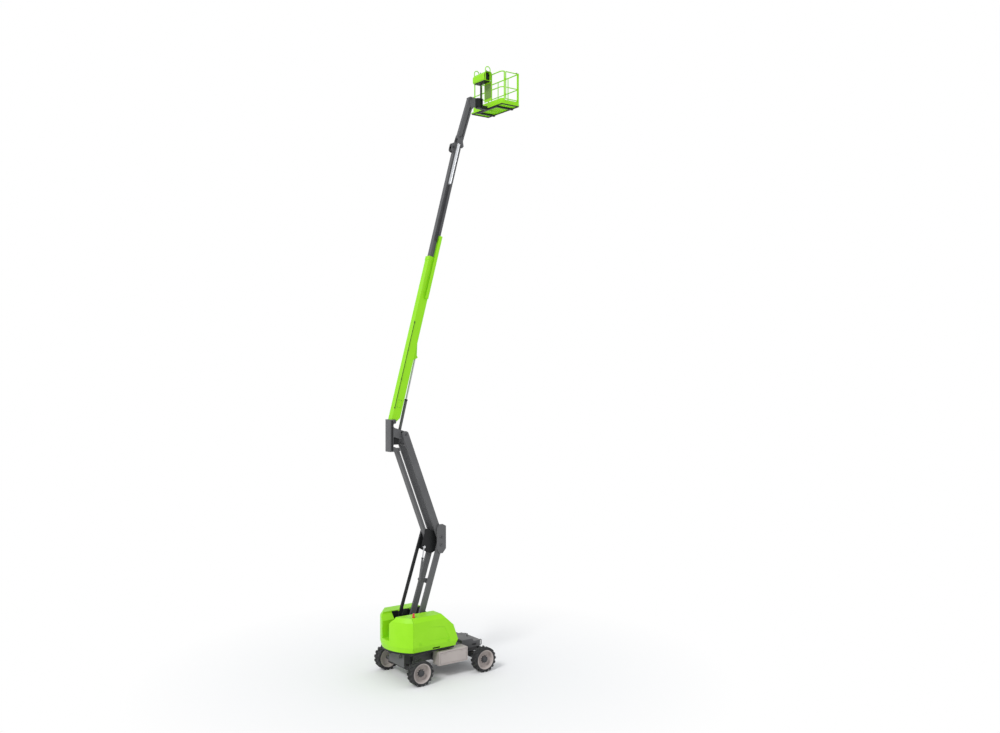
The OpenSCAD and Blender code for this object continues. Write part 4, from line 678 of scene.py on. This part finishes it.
# gland nuts on the two cylinders' barrels
gland = {"sizes": {"lift_barrel": ("lift_rod_slide", 0.054, 0.05), "riser_barrel": ("riser_rod_slide", 0.04, 0.04)},
         "mouth": 0.01, "sunk": 0.7, "foot": 0.93, "neck": 0.86, "ease": 0.004, "step": (0.012, 0.008)}
for body, (slide, r, depth) in gland["sizes"].items():
    way = Vector(joints[slide]["axis"]).normalized()
    way = way if way.z > 0 else -way
    corners = [v.co for v in nodes[body].data.vertices]
    tip = max(c.dot(way) for c in corners)
    mouth = [c - way * c.dot(way) for c in corners if abs(c.dot(way) - tip) < gland["mouth"]]
    centre = sum(mouth, Vector()) / len(mouth)
    nut = turned([(r * gland["foot"], 0), (r, gland["ease"]), (r, depth - gland["step"][0]),
                  (r * gland["neck"], depth - gland["step"][1]), (r * gland["neck"], depth)], 12)
    moved(nut, facing(centre + way * (tip - depth * gland["sunk"]), way, (0, 1, 0)))
    settle(nut, "gland_" + body, body, blackEnamel, 1)
print("cylinder glands made")

# studio: pale floor that fades into a white backdrop, one broad sun and a soft sky
studio = {"floorSize": 400.0, "fadeFrom": 3.0, "fadeTo": 10.0, "floor": "#F3F3F2", "floorRough": 0.9,
          "sky": 0.8, "skyColour": "#F4F6FA", "sun": 1.4, "sunWidth": 14, "sunTurn": (48, 0, -66),
          "sunAt": (-8, -14, 26)}
bpy.ops.object.select_all(action="DESELECT")
bpy.ops.mesh.primitive_plane_add(size=studio["floorSize"], location=(0, 0, 0))
floor = bpy.context.object
floor.name = "studioFloor"
floorPaint, tree, shader, coords = startMaterial("studioFloorPaint")
shader.inputs["Base Color"].default_value = srgb(studio["floor"])
shader.inputs["Roughness"].default_value = studio["floorRough"]
reach = addNode(tree, "ShaderNodeVectorMath", {0: coords}, operation="LENGTH")
far = addNode(tree, "ShaderNodeMapRange", {
    "Value": reach.outputs["Value"], "From Min": studio["fadeFrom"], "From Max": studio["fadeTo"]})
rays = addNode(tree, "ShaderNodeLightPath")
seen = addNode(tree, "ShaderNodeMath", {
    0: rays.outputs["Is Camera Ray"], 1: rays.outputs["Is Glossy Ray"]}, operation="MAXIMUM")
share = addNode(tree, "ShaderNodeMath", {0: far.outputs["Result"], 1: seen.outputs[0]}, operation="MULTIPLY")
white = addNode(tree, "ShaderNodeEmission", {"Color": (1, 1, 1, 1), "Strength": 1.0})
mix = addNode(tree, "ShaderNodeMixShader", {0: share.outputs[0], 1: shader.outputs[0], 2: white.outputs[0]})
output = [n for n in tree.nodes if n.type == "OUTPUT_MATERIAL"][0]
tree.links.new(mix.outputs[0], output.inputs[0])
floor.data.materials.append(floorPaint)

world = bpy.data.worlds.new("studioSky")
bpy.context.scene.world = world
world.use_nodes = True
tree = world.node_tree
tree.nodes.clear()
rays = addNode(tree, "ShaderNodeLightPath")
sky = addNode(tree, "ShaderNodeBackground", {"Color": srgb(studio["skyColour"]), "Strength": studio["sky"]})
plain = addNode(tree, "ShaderNodeBackground", {"Color": (1, 1, 1, 1), "Strength": 1.0})
shown = addNode(tree, "ShaderNodeMath", {
    0: rays.outputs["Is Camera Ray"], 1: rays.outputs["Is Transmission Ray"]}, operation="MAXIMUM")
blend = addNode(tree, "ShaderNodeMixShader", {0: shown.outputs[0], 1: sky.outputs[0], 2: plain.outputs[0]})
addNode(tree, "ShaderNodeOutputWorld", {0: blend.outputs[0]})

bpy.ops.object.light_add(type="SUN", location=studio["sunAt"])
sun = bpy.context.object
sun.name = "studioSun"
sun.data.energy = studio["sun"]
sun.data.angle = math.radians(studio["sunWidth"])
sun.rotation_euler = [math.radians(a) for a in studio["sunTurn"]]

# camera at the photograph's place: level, off the machine's rear right
view = {"place": (-17.56, -27.524, 10.288), "turn": (90, 0, -36.414), "lens": 34.56, "sensor": 36.0, "far": 300}
bpy.ops.object.camera_add(location=view["place"], rotation=[math.radians(a) for a in view["turn"]])
camera = bpy.context.object
camera.name = "photoCamera"
camera.data.sensor_width = view["sensor"]
camera.data.lens = view["lens"]
camera.data.clip_end = view["far"]
bpy.context.scene.camera = camera
bpy.context.scene.view_settings.view_transform = "Standard"
print("studio and camera set")
